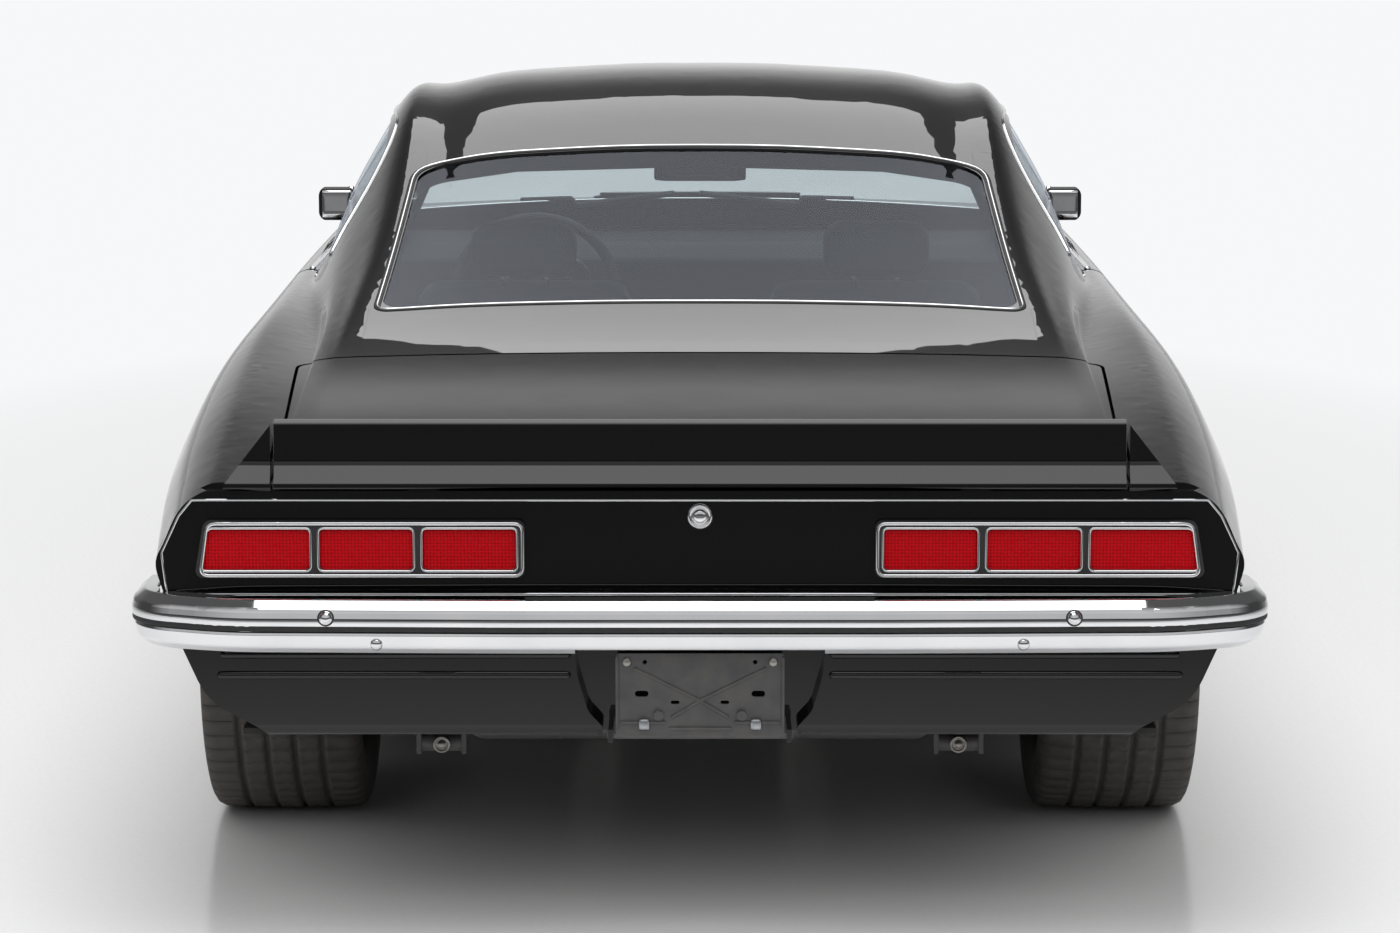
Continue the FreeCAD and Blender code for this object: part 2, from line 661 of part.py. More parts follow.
def hollow_loft(stations, low):
    wires = []
    for s in stations:
        half = cabin_inside(s, low)
        points = [Vector(x, y_of(s), z) for x, z in half]
        points += [Vector(-x, y_of(s), z) for x, z in reversed(half[:-1])]
        wires.append(Part.makePolygon(points + [points[0]]))
    return Part.makeLoft(wires, True, True)


def cabin_hollow():
    front = station(FIREWALL_Y)
    rear = station(CABIN_REAR_Y)
    main = hollow_loft([front, 2.05, 2.15, 2.3, 2.45, 2.7, 3.0, 3.2, 3.4, 3.6, rear], FLOOR_Z - 40)
    wedge = hollow_loft([rear - 0.002, 3.84, station(REAR_GLASS_BOTTOM_Y - 6)], 600)
    wedge = wedge.cut(box(-WIDE, WIDE, CABIN_REAR_Y - 50, 1400, 500, TRAY_Z))
    hollow = main.fuse(wedge)
    for side in (1, -1):
        wall_x = HOUSE_INNER_X - HOUSE_WALL
        house = arch_prism(REAR_AXLE_Y, REAR_TYRE_RADIUS, REAR_TYRE_RADIUS, wall_x, WIDE, HOUSE_WALL)
        hollow = hollow.cut(house if side > 0 else mirrored(house))
    return hollow


def trunk_hollow():
    narrow = box(-575, 575, TRUNK_FRONT_Y, 1724, 0, TALL)
    wide = box(-TRUNK_SIDE_X, TRUNK_SIDE_X, 1722, TAIL_Y, 0, TALL)
    hollow = narrow.fuse(wide)
    hollow = hollow.cut(box(-WIDE, WIDE, TRUNK_FRONT_Y - 20, 1300, TRAY_Z - 22, TALL))
    return hollow.common(moved(UPPER, 0, 0, -40).fuse(box(-WIDE, WIDE, TRUNK_FRONT_Y, TAIL_Y, -60, 500)))


def under_hollow():
    """Space under the floor, cleared from the quarters."""
    shape = box(-CABIN_HALF_WIDTH, CABIN_HALF_WIDTH, DOOR_REAR_Y, 916, -60, FLOOR_Z + 30)
    inner_x = HOUSE_INNER_X - HOUSE_WALL
    shape = shape.fuse(box(-inner_x, inner_x, 914, 1724, -60, AXLE_HUMP_Z + 20))
    return shape


CABIN = cabin_hollow()
TRUNK = trunk_hollow()


def windshield_prism(shrink=0.0):
    y0, y1 = COWL_REAR_Y + shrink, -322.0 - shrink
    x0, x1 = 690.0 - shrink, 556.0 - shrink
    return plan_prism([(-x0, y0), (x0, y0), (x1, y1), (-x1, y1)], 860, TALL, [24, 24, 70, 70])


def rear_window_prism(shrink=0.0):
    y0, y1 = REAR_GLASS_TOP_Y + shrink, REAR_GLASS_BOTTOM_Y - shrink
    x0, x1 = REAR_GLASS_TOP_X - shrink, REAR_GLASS_BOTTOM_X - shrink
    return plan_prism([(-x0, y0), (x0, y0), (x1, y1), (-x1, y1)], 860, TALL, [60, 60, 36, 36])


def sheet_under(direction, prism_shape, recess=GLASS_RECESS, thickness=GLASS):
    """Pane that follows the body's surface, set in along the direction."""
    outer = moved(UPPER, *(direction * recess))
    inner = moved(UPPER, *(direction * (recess + thickness)))
    return largest(prism_shape.common(outer).cut(inner))


def windshield():
    slope = math.atan(WINDSHIELD_SLOPE)
    return sheet_under(Vector(0, math.sin(slope), -math.cos(slope)), windshield_prism(SEAT_GAP))


def rear_window():
    return sheet_under(Vector(0, -0.34, -0.94), rear_window_prism(SEAT_GAP))


def roof_panel():
    region = box(-ROOF_SEAM_X, ROOF_SEAM_X, COWL_REAR_Y + SEAT_GAP, REAR_GLASS_TOP_Y + 60, BELT + 6, TALL)
    region = region.fuse(box(-WIDE, WIDE, COWL_REAR_Y + SEAT_GAP, ROOF_SEAM_Y, BELT + 6, TALL))
    window = side_window_prism()
    region = region.cut([windshield_prism(), rear_window_prism(), window, mirrored(window)])
    return largest(UPPER.common(region).cut(CABIN))


def quarter():
    """Left quarter: side from door to tail, wheel arch and roof pillar."""
    shape = UPPER.common(box(0, WIDE, DOOR_REAR_Y + 3, TAIL_Y - 28.3, 0, TALL))
    middle = box(0, DECK_HALF_WIDTH + SEAT_GAP, REAR_GLASS_TOP_Y + 90, LID_FRONT_Y + 41, 0, TALL)
    middle = middle.cut([box(HOUSE_INNER_X - HOUSE_WALL, DECK_HALF_WIDTH + 1, 0, LID_FRONT_Y, 0, 800),
                         box(SHELF_HALF_WIDTH, DECK_HALF_WIDTH + 1, 0, REAR_GLASS_BOTTOM_Y, 780, TALL)])
    cutters = [
        box(0, WIDE, DOOR_REAR_Y, ROOF_SEAM_Y + SEAT_GAP, BELT + 5.7, TALL),
        box(0, ROOF_SEAM_X + SEAT_GAP, DOOR_REAR_Y, REAR_GLASS_TOP_Y + 100, BELT, TALL),
        middle,
        rear_window_prism(),
        side_window_prism(),
        under_hollow(),
        arch_prism(REAR_AXLE_Y, REAR_TYRE_RADIUS, REAR_TYRE_RADIUS, HOUSE_INNER_X, WIDE),
        box(0, TRUNK_SIDE_X, 1712, TAIL_Y, 0, TRUNK_FLOOR_Z + 40),
        box(HOUSE_INNER_X - 40, HOUSE_INNER_X + 2, REAR_AXLE_Y - 330, REAR_AXLE_Y + 330, -60, 440),
        box(0, TRUNK_MOUTH_X, LID_FRONT_Y + 40, TAIL_Y, 600, TALL),
        tail_corner(),
        CABIN,
        TRUNK,
    ]
    for cutter in cutters:
        shape = shape.cut(cutter)
    lid_hole = plan_prism(lid_outline(DOOR_GAP), 600, TALL, [66, 66, 0, 0])
    lid_hole = lid_hole.common(box(0, WIDE, 0, REAR_END_Y, 0, TALL))
    ledge = shape.common(lid_hole).common(moved(UPPER, 0, 0, -34))
    return largest(shape.cut(lid_hole).fuse(ledge))


def deck_panel():
    """Panel between rear window and trunk lid, with the parcel shelf and seat bulkhead."""
    x = DECK_HALF_WIDTH
    skin = UPPER.common(box(-x, x, REAR_GLASS_BOTTOM_Y + SEAT_GAP, LID_FRONT_Y - DOOR_GAP, 700, TALL))
    skin = skin.cut(moved(UPPER, 0, 0, -24))
    side = SHELF_HALF_WIDTH - SEAT_GAP
    shelf = box(-side, side, CABIN_REAR_Y + 0.3, REAR_GLASS_BOTTOM_Y + 34, TRAY_Z - 20, TRAY_Z - 2)
    post = box(-x, x, REAR_GLASS_BOTTOM_Y + 4, REAR_GLASS_BOTTOM_Y + 34, TRAY_Z - 20, TALL).common(UPPER)
    wall = box(-574, 574, CABIN_REAR_Y + 0.3, TRUNK_FRONT_Y, AXLE_HUMP_Z + 0.3, 779.7)
    top = box(-side, side, CABIN_REAR_Y + 0.3, TRUNK_FRONT_Y, 770, TRAY_Z - 2)
    shape = skin.fuse([shelf, post, wall, top])
    under = moved(UPPER, 0, 0, -LID_SKIN - STOP_GAP)
    for x in (-LID_STOP_X - 50, LID_STOP_X):
        stop = box(x, x + 50, LID_FRONT_Y - 50, LID_FRONT_Y + 36, 800, TALL).common(under)
        link = box(x, x + 50, LID_FRONT_Y - 50, LID_FRONT_Y - DOOR_GAP, 800, TALL)
        link = link.common(moved(UPPER, 0, 0, -12))
        shape = shape.fuse([stop, link])
    return largest(shape)


def tail_panel():
    shape = UPPER.common(box(-WIDE, WIDE, TAIL_Y - 28, TAIL_Y, TAIL_BOTTOM_Z + 0.3, TAIL_TOP_Z))
    for x in (-LID_STOP_X - 50, LID_STOP_X):
        shape = shape.fuse(box(x, x + 50, TAIL_Y - 26, TAIL_Y - 4, TAIL_TOP_Z - 10, LID_BOTTOM_Z - STOP_GAP))
    return largest(shape)


def tail_corner():
    """What the rounded lower corner of the tail leaves off on the left side, behind the wheel."""
    corner = [(980, 640), (868, 640), (846, 500), (800, 396), (690, 336), (690, 100), (980, 100)]
    return front_prism(corner, REAR_AXLE_Y + 300, REAR_END_Y + 60, [0, 60, 90, 110, 60, 0, 0])


def recess_outline(grow=0.0):
    """Front view of the number plate recess, its walls drawn in towards the bottom."""
    half = [(158, 300), (158, 352), (182, 378), (200, 440), (204, 508)]
    right = [(x + grow, z + (grow if z > 500 else 0)) for x, z in half]
    return right + [(-x, z) for x, z in reversed(right)]


def recess_prism(y0, y1, grow=0.0):
    return front_prism(recess_outline(grow), y0, y1, [0, 12, 40, 90, 14, 14, 90, 40, 12, 0])


def rear_valance():
    """Panel under the rear bumper: rolled lower edge, two beads each side, plate recess with bracket lugs."""
    face = TAIL_Y - 4
    low, high = VALANCE_BOTTOM_Z, TAIL_BOTTOM_Z
    profile = [(face - 24, low), (face, low), (face, high), (face - 24, high)]
    shape = UPPER.common(side_prism(profile, -WIDE, WIDE, [0, 20, 0, 0]))
    for z, x1 in BEADS:
        for side in (1, -1):
            bead = rod((side * BEAD_START_X, face - 1, z), (side * x1, face - 1, z), BEAD_RADIUS)
            for x in (BEAD_START_X, x1):
                bead = bead.fuse(Part.makeSphere(BEAD_RADIUS, Vector(side * x, face - 1, z)))
            shape = shape.fuse(bead)
    corner = tail_corner()
    shape = shape.cut([corner, mirrored(corner), recess_prism(face - 40, face + 40)])
    back = TAIL_Y - RECESS_DEPTH
    tray = recess_prism(back, face - 2, RECESS_WALL).cut(recess_prism(back + RECESS_WALL, face + 40))
    tray = tray.cut(box(-WIDE, WIDE, 2000, 2400, 0, VALANCE_BOTTOM_Z))
    for x in (-LUG_X - 8, LUG_X):
        lug = box(x, x + 8, back + 4, BRACKET_Y + 10, BRACKET_AXIS_Z - 11, BRACKET_AXIS_Z + 11)
        tray = tray.fuse(lug)
    bore = rod((-200, BRACKET_Y, BRACKET_AXIS_Z), (200, BRACKET_Y, BRACKET_AXIS_Z), BRACKET_PIN + SEAT_GAP)
    return shape.fuse(tray.cut(bore)).removeSplitter()


def trunk_lid():
    shape = UPPER.common(plan_prism(lid_outline(0), LID_BOTTOM_Z, TALL, [60, 60, 0, 0]))
    shape = shape.common(box(-WIDE, WIDE, 1000, TAIL_Y + 2, 600, TALL))
    return largest(shape.cut(moved(UPPER, 0, 0, -LID_SKIN)))


SPOILER_PROFILE = [(2096, 700), (2096, 803), (2190, 836), (2256, 857), (2268, 851)]
SPOILER_PROFILE += [(2267, 786), (2294, 757), (2294, 748), (2268, 748), (2262, 700)]
SPOILER_RADII = [0, 8, 30, 5, 5, 16, 3, 3, 2, 0]


def spoiler():
    """Middle piece of the rear lip, on the trunk lid."""
    shape = side_prism(SPOILER_PROFILE, -LID_FRONT_X, LID_FRONT_X, SPOILER_RADII)
    shape = shape.common(plan_prism(lid_outline(0), 600, TALL))
    shape = shape.cut(moved(UPPER, 0, 0, SEAT_GAP))
    return largest(shape.cut(box(-WIDE, WIDE, 2000, TAIL_Y + 2.3, 600, TAIL_TOP_Z + 8)))


def spoiler_end():
    """Left end cap of the rear lip, on the quarter."""
    shape = side_prism(SPOILER_PROFILE, LID_REAR_X, 764, SPOILER_RADII)
    slope = front_prism([(LID_REAR_X - 4, 1000), (LID_REAR_X - 4, 864), (766, 752), (766, 1000)], 2000, 2400)
    shape = shape.cut([slope, plan_prism(lid_outline(DOOR_GAP), 500, TALL)])
    shape = shape.cut(moved(UPPER, 0, 0, SEAT_GAP))
    return largest(shape.cut(box(0, WIDE, 2000, TAIL_Y + SEAT_GAP, 600, TAIL_TOP_Z + 3)))


def blade(path, radii, profile):
    """Bumper blade: the profile of (depth outwards, height) swept along an open outline in plan."""
    base = path[0]
    start = Vector(path[1][0] - base[0], path[1][1] - base[1], 0).normalize()
    out = Vector(-start.y, start.x, 0)
    corners = [Vector(x, y, 0) for x, y in path]
    spine = open_wire(corners, radii)
    points = [Vector(base[0], base[1], z) + out * d for d, z in profile[0]]
    section = rounded_wire(points, profile[1])
    return Part.Wire(spine.Edges).makePipeShell([section], True, False)


def rear_bumper():
    """Chrome blade across the tail: bulged upper half, groove, lower lip, ends wrapped forward."""
    x, y = BUMPER_HALF_WIDTH - BUMPER_DEPTH, REAR_END_Y - BUMPER_DEPTH
    path = [(-x, BUMPER_END_Y), (-x, y - 64), (-x + 130, y - 12), (-300, y)]
    path += [(-a, b) for a, b in reversed(path)]
    shape = blade(path, [0, 70, 260, 2500, 2500, 260, 70, 0], REAR_BLADE)
    shape = shape.cut(box(-PLATE_NOTCH_X, PLATE_NOTCH_X, 2000, 2400, 400, REAR_BLADE_Z + 9))
    shape = shape.cut(box(4 - x, x - 4, BUMPER_END_Y - 50, TAIL_Y + 4, 400, 700))
    for x in (-BUMPER_ARM_X - 60, BUMPER_ARM_X):
        shape = shape.fuse(box(x, x + 60, TAIL_Y - 4 + SEAT_GAP, REAR_END_Y - 13, 508, 544))
    return largest(shape)


def front_bumper():
    """Chrome blade across the nose, its ends wrapped back."""
    x, y = BUMPER_HALF_WIDTH - BUMPER_DEPTH + 2, FRONT_END_Y + BUMPER_DEPTH
    path = [(x, -BUMPER_END_Y), (x, y + 96), (x - 150, y + 26), (300, y)]
    path += [(-a, b) for a, b in reversed(path)]
    shape = blade(path, [0, 80, 300, 2500, 2500, 300, 80, 0], FRONT_BLADE)
    for x in (-FRONT_ARM_X - 50, FRONT_ARM_X):
        shape = shape.fuse(box(x, x + 50, FRONT_END_Y + 13, NOSE_Y - SEAT_GAP, 446, 482))
    return largest(shape)


def tyre(x, y, radius, width):
    """Tyre with straight profile lines; x is the wheel's middle."""
    half = width / 2
    bead, inner = half * 0.80, RIM_RADIUS + SEAT_GAP
    profile = [(-half * 0.80, radius), (half * 0.80, radius), (half * 0.95, radius - 16), (half, radius - 44)]
    profile += [(half * 0.9, inner + 18), (bead, inner), (-bead, inner), (-half * 0.9, inner + 18)]
    profile += [(-half, radius - 44), (-half * 0.95, radius - 16)]
    points = [Vector(x + a, y, radius + r) for a, r in profile]
    face = Part.Face(Part.makePolygon(points + [points[0]]))
    return face.revolve(Vector(x, y, radius), Vector(1, 0, 0), 360)


def spoke_window(x0, x1, y, z, turn):
    """Opening between two spokes of the left wheel, turned about the axle."""
    def at(radius, degrees):
        angle = math.radians(degrees)
        return Vector(x0, y + radius * math.sin(angle), z + radius * math.cos(angle))

    outer, inner = RIM_RADIUS - 26, 82.0
    wide = 36 - math.degrees(math.asin(SPOKE_TIP / outer))
    narrow = 36 - math.degrees(math.asin(SPOKE_ROOT / inner))
    points = [at(inner, turn - narrow), at(outer, turn - wide), at(outer + 16, turn), at(outer, turn + wide)]
    points.append(at(inner, turn + narrow))
    return prism(rounded_wire(points, [9, 16, 160, 16, 9]), Vector(x1 - x0, 0, 0))


def rim(x, y, radius, width, bore):
    """Left five-spoke wheel: barrel with lips and dished face with five windows. x is the wheel's middle."""
    half = width / 2 * 0.80
    r = RIM_RADIUS
    face = half - 14
    barrel = [(-half, r), (-half, r - 16), (-half + 8, r - 20), (-half + 26, r - 24), (face - 70, r - 46)]
    barrel += [(face - 30, r - 34), (half - 10, r - 20), (half, r - 14), (half, r)]
    dish = [(face - 12, r - 20), (face - 24, r - 30), (face - 44, 130), (face - 34, 72)]
    dish += [(face - 22, 58), (face - 6, 52), (face, 40), (face, bore), (-20, bore), (-20, 66)]
    dish += [(face - 76, 80), (face - 78, 130), (face - 66, r - 38)]
    shape = turned(barrel, x, y, radius)
    plate = turned(dish, x, y, radius)
    for i in range(5):
        plate = plate.cut(spoke_window(x + face - 120, x + face + 10, y, radius, 36 + 72 * i))
    return shape.fuse(plate).removeSplitter()


def turned(profile, x, y, z):
    """Ring turned about the axle from a profile of (distance along the axle, radius)."""
    face = Part.Face(Part.makePolygon([Vector(x + a, y, z + r) for a, r in profile + profile[:1]]))
    return face.revolve(Vector(x, y, z), Vector(1, 0, 0), 360)


def floor_pan():
    """Floor with tunnel, kick-up over the axle, trunk floor and rockers."""
    t = 10.0
    start = FIREWALL_Y + SEAT_GAP
    line = [(start, FLOOR_Z + 6), (800, FLOOR_Z + 6), (930, AXLE_HUMP_Z - t), (1570, AXLE_HUMP_Z - t)]
    line += [(1680, TRUNK_FLOOR_Z - t), (TAIL_Y - 28.3, TRUNK_FLOOR_Z - t)]
    profile = line + [(y, z + t) for y, z in reversed(line)]
    wide = side_prism(profile, -CABIN_HALF_WIDTH + SEAT_GAP, CABIN_HALF_WIDTH - SEAT_GAP)
    middle = wide.common(box(-581.7, 581.7, 900, 1724, 0, TALL))
    front = wide.common(box(-WIDE, WIDE, -1000, 900, 0, TALL))
    back = wide.common(box(-WIDE, WIDE, 1724, 3000, 0, TALL))
    shape = front.fuse([middle, back])
    ridge = [(start, FLOOR_Z + 6), (start, 440), (-400, 400), (936, 400), (936, FLOOR_Z + 6)]
    tunnel = side_prism(ridge, -TUNNEL_HALF_WIDTH - 12, TUNNEL_HALF_WIDTH + 12)
    x = TUNNEL_HALF_WIDTH
    hole = side_prism([(start - 20, 0), (start - 20, 430), (-400, 388), (950, 388), (950, 0)], -x, x)
    shape = shape.fuse(tunnel).cut(hole)
    shape = shape.cut(box(-200, 200, TAIL_Y - 62, TAIL_Y, 0, TALL))
    rocker_front_y = DOOR_FRONT_Y - DOOR_GAP + SEAT_GAP
    rocker = box(CABIN_HALF_WIDTH - 30, WIDE, rocker_front_y, DOOR_REAR_Y + 2.7, 0, SILL_TOP)
    rocker = UPPER.common(rocker)
    rocker = rocker.cut(box(0, CABIN_HALF_WIDTH + SEAT_GAP, rocker_front_y - 100, start, 0, TALL))
    return shape.fuse([rocker, mirrored(rocker)]).removeSplitter()


# Running gear
KINGPIN_X = 640.0
SPINDLE_RADIUS = 16.0
SUBFRAME_X = 350.0
HUB_BORE = SPINDLE_RADIUS + SEAT_GAP
SPRING_X = 438.0
SHACKLE_Y = 1970.0
SHACKLE_Z = 263.0


def knuckle():
    """Left steering knuckle: upright between the ball joints, steering arm and spindle."""
    y, z = FRONT_AXLE_Y, FRONT_TYRE_RADIUS
    upright = box(KINGPIN_X - 18, KINGPIN_X + 18, y - 24, y + 24, z - 108, z + 128)
    arm = box(KINGPIN_X - 14, KINGPIN_X + 14, y + 20, y + 130, z - 90, z - 70)
    spindle = rod((KINGPIN_X, y, z), (FRONT_TRACK / 2 + 70, y, z), SPINDLE_RADIUS)
    return upright.fuse([arm, spindle]).removeSplitter()


def front_subframe():
    """Rails, engine cross member, control arms, spring towers and radiator with its frame."""
    y, z = FRONT_AXLE_Y, FRONT_TYRE_RADIUS
    parts = [box(-380, 380, y - 70, y + 70, 210, 262)]
    parts.append(box(-380, 380, NOSE_Y + 150, NOSE_Y + 200, 262, 330))
    for side in (1, -1):
        rail = box(SUBFRAME_X - 30, SUBFRAME_X + 30, NOSE_Y + 150, FIREWALL_Y - 70, 250, 330)
        tower = box(SUBFRAME_X - 30, SUBFRAME_X + 40, y - 80, y + 80, 320, 560)
        low = plan_prism([(370, y - 110), (370, y + 110), (KINGPIN_X + 16, y + 30), (KINGPIN_X + 16, y - 30)],
                         z - 136, z - 108 - SEAT_GAP)
        high = plan_prism([(370, y - 80), (370, y + 80), (KINGPIN_X + 16, y + 26), (KINGPIN_X + 16, y - 26)],
                          z + 128 + SEAT_GAP, z + 150)
        for piece in (rail, tower, low, high):
            parts.append(piece if side > 0 else mirrored(piece))
    core = box(-330, 330, NOSE_Y + 160, NOSE_Y + 196, 320, 720)
    for x in (-300, 260):
        stop = box(x, x + 40, NOSE_Y + 162, NOSE_Y + 194, 700, TALL)
        parts.append(stop.common(moved(FRONT, 0, 0, -LID_SKIN - STOP_GAP)))
    shape = parts[0].fuse(parts[1:] + [core])
    return shape.removeSplitter()


def engine_block():
    block = box(-270, 270, -1750, -1010, 262 + SEAT_GAP, 760)
    cleaner = Part.makeCylinder(190, 56, Vector(0, -1400, 760))
    gearbox = box(-110, 110, -1010, -860, 300, 560)
    return block.fuse([cleaner, gearbox]).removeSplitter()


def rear_axle():
    """Axle with its differential, drive shaft, leaf springs and shackles."""
    y, z = REAR_AXLE_Y, REAR_TYRE_RADIUS
    end = REAR_TRACK / 2 - 88
    shape = rod((-end, y, z), (end, y, z), 38)
    shape = shape.fuse(Part.makeSphere(100, Vector(0, y, z)))
    shape = shape.fuse(rod((-end - 100, y, z), (end + 100, y, z), SPINDLE_RADIUS))
    shape = shape.fuse(rod((0, y, z), (0, -859.7, 340), 32))
    for side in (1, -1):
        line = [(690, 186), (960, 262), (y, 288), (1640, 284), (SHACKLE_Y, SHACKLE_Z - 6)]
        points = line + [(a, b + 14) for a, b in reversed(line)]
        x0, x1 = sorted((side * (SPRING_X - 30), side * (SPRING_X + 30)))
        leaf = side_prism(points, x0, x1)
        seat = box(x0 - 6, x1 + 6, y - 50, y + 50, 282, 330)
        shape = shape.fuse([leaf, seat])
        shape = shape.fuse(rod((x0 - 12, SHACKLE_Y, SHACKLE_Z), (x1 + 12, SHACKLE_Y, SHACKLE_Z), 16))
        for x in (x0 - 12, x1 + 4):
            plate = box(x, x + 8, SHACKLE_Y - 18, SHACKLE_Y + 18, SHACKLE_Z - 18, TRUNK_FLOOR_Z - 10.3)
            shape = shape.fuse(plate)
        shape = shape.fuse(box(x0 - 6, x1 + 6, 680, 710, 180, FLOOR_Z + 5.7))
    return shape.removeSplitter()


def exhaust():
    """Two pipes with mufflers under the floor."""
    parts = []
    for side in (1, -1):
        x = side * 215
        parts.append(rod((x, -1300, 195), (x, 1000, 185), 28))
        parts.append(rod((x, 180, 188), (x, 640, 186), 46))
        parts.append(box(x - 10, x + 10, 520, 540, 188, FLOOR_Z + 5.7))
    shape = parts[0].fuse(parts[1:3])
    other = parts[3].fuse(parts[4:])
    return Part.makeCompound([shape, other])


def fuel_tank():
    """Tank under the trunk floor, its rear half sloping up."""
    top = TRUNK_FLOOR_Z - 10.3
    outline = [(1580, top), (1580, 222), (1770, 222), (2080, 300), (2080, top)]
    return side_prism(outline, -380, 380, [0, 34, 90, 14, 0])


def rounded_box(x0, x1, y0, y1, z0, z1, radius):
    solid = box(x0, x1, y0, y1, z0, z1)
    return solid.makeFillet(radius, solid.Edges)


# Cabin
SEAT_X = 365.0
WHEEL_X = 370.0
COLUMN_SLOPE = math.radians(24)
STEERING_WHEEL_AT = Vector(WHEEL_X, -395, 760)


def column_point(distance):
    """Point on the steering axis, towards the firewall for positive distances."""
    return STEERING_WHEEL_AT + Vector(0, -math.cos(COLUMN_SLOPE), -math.sin(COLUMN_SLOPE)) * distance


def steering_wheel():
    axis = Vector(0, -math.cos(COLUMN_SLOPE), -math.sin(COLUMN_SLOPE))
    ring = Part.makeTorus(182, 12, STEERING_WHEEL_AT, axis)
    hub = Part.makeCylinder(34, 46, column_point(-8), axis)
    shape = ring.fuse(hub)
    turn = FreeCAD.Rotation(Vector(0, 0, 1), axis * -1)
    for i in range(3):
        spoke = Part.makeBox(22, 172, 8, Vector(-11, 8, -4))
        spoke.rotate(Vector(0, 0, 0), Vector(0, 0, 1), 60 + 120 * i)
        spoke.Placement = FreeCAD.Placement(STEERING_WHEEL_AT, turn).multiply(spoke.Placement)
        shape = shape.fuse(spoke)
    shaft = Part.makeCylinder(10, 90, column_point(30), axis)
    return shape.fuse(shaft)


def dashboard():
    """Dash with instrument panel, steering column and console on the tunnel."""
    back = FIREWALL_Y + SEAT_GAP
    face = [(back, 560), (back, 868), (-760, 866), (-600, 858), (-560, 820), (-590, 640), (-660, 560)]
    shape = side_prism(face, -730, 730, [0, 0, 30, 40, 20, 30, 20])
    hood_cut = moved(UPPER, 0, 0, -16)
    shape = shape.common(hood_cut)
    axis = Vector(0, -math.cos(COLUMN_SLOPE), -math.sin(COLUMN_SLOPE))
    column = Part.makeCylinder(30, 260, column_point(44), axis)
    bore = Part.makeCylinder(10.3, 90, column_point(34), axis)
    shape = shape.fuse(column).cut(bore)
    console = [(-560, 415.4), (-640, 600), (-600, 640), (-420, 480), (60, 450), (60, 400.3), (-399, 400.3)]
    return shape.fuse(side_prism(console, -90, 90, [0, 0, 30, 60, 20, 0, 0])).removeSplitter()


def front_seats():
    """Two bucket seats with headrests on their runners."""
    cushion = [(-330, FLOOR_Z + 60), (-330, 430), (-250, 470), (120, 420), (150, FLOOR_Z + 60)]
    back = [(60, 410), (150, 340), (240, 400), (330, 800), (310, 868), (240, 868), (205, 800)]
    seat = side_prism(cushion, SEAT_X - 225, SEAT_X + 225, [30, 40, 60, 20, 20])
    seat = seat.fuse(side_prism(back, SEAT_X - 222, SEAT_X + 222, [20, 30, 40, 30, 30, 30, 40]))
    head = [(262, 880), (262, 990), (330, 1000), (350, 900)]
    seat = seat.fuse(side_prism(head, SEAT_X - 108, SEAT_X + 108, [24, 30, 30, 24]))
    for x in (SEAT_X - 50, SEAT_X + 38):
        seat = seat.fuse(box(x, x + 12, 288, 300, 800, 900))
    for x in (SEAT_X - 200, SEAT_X + 160):
        seat = seat.fuse(box(x, x + 40, -300, 120, FLOOR_Z + 16.3, FLOOR_Z + 70))
    seat = seat.removeSplitter()
    return both(seat)


def rear_seat():
    low, hump = FLOOR_Z + 16.3, AXLE_HUMP_Z + SEAT_GAP
    profile = [(520, low), (500, 450), (560, 490), (900, 470), (960, 470), (960, hump)]
    profile += [(929.5, hump), (799.5, low)]
    cushion = side_prism(profile,
                         -572, 572, [0, 40, 40, 0, 0, 0, 0, 0])
    cushion = cushion.cut(box(-130.3, 130.3, 0, 1000, 0, 400.3))
    profile = [(870, hump), (1000, 862), (CABIN_REAR_Y, 862), (CABIN_REAR_Y, hump)]
    back = side_prism(profile, -572, 572, [0, 40, 20, 0])
    return cushion.fuse(back).removeSplitter()


def grille():
    """Egg-crate grille between its frame, in the nose opening."""
    y0, y1 = NOSE_Y + 42, NOSE_Y + 70
    x, z0, z1 = GRILLE_HALF_WIDTH - SEAT_GAP, GRILLE_BOTTOM + SEAT_GAP, GRILLE_TOP - SEAT_GAP
    frame = box(-x, x, y0 - 4, y1 + 4, z0, z1).cut(box(-x + 14, x - 14, y0 - 5, y1 + 5, z0 + 14, z1 - 14))
    frame = frame.common(front_prism([(-x, z0), (x, z0), (x, z1), (-x, z1)], y0 - 10, y1 + 10, 29.7))
    bars = []
    for i in range(1, 6):
        z = z0 + (z1 - z0) * i / 6
        bars.append(box(-x + 10, x - 10, y0, y1, z - 2.5, z + 2.5))
    for i in range(-10, 11):
        bars.append(box(i * 48 - 2.5, i * 48 + 2.5, y0, y1, z0 + 10, z1 - 10))
    shape = frame.fuse(bars)
    for side in (1, -1):
        ring = Part.makeCylinder(96, 34, Vector(side * 612, y0 - 2, (z0 + z1) / 2), Vector(0, 1, 0))
        shape = shape.fuse(ring)
    for side in (1, -1):
        centre = Vector(side * 612, y0 - 20, (z0 + z1) / 2)
        shape = shape.cut(Part.makeCylinder(88, 60, centre, Vector(0, 1, 0)))
    return shape.removeSplitter()


def front_lamps():
    z = (GRILLE_BOTTOM + GRILLE_TOP) / 2
    lamp = Part.makeCylinder(87.7, 40, Vector(612, NOSE_Y + 34, z), Vector(0, 1, 0))
    return both(lamp)


TAIL_LAMP_Z = (602.0, 694.0)
TAIL_LENSES = [(296, 446), (462, 612), (628, 798)]


def lamp_outline(x0, x1, z0, z1, slant):
    return [(x0, z0), (x1 + slant, z0), (x1 - slant, z1), (x0, z1)]


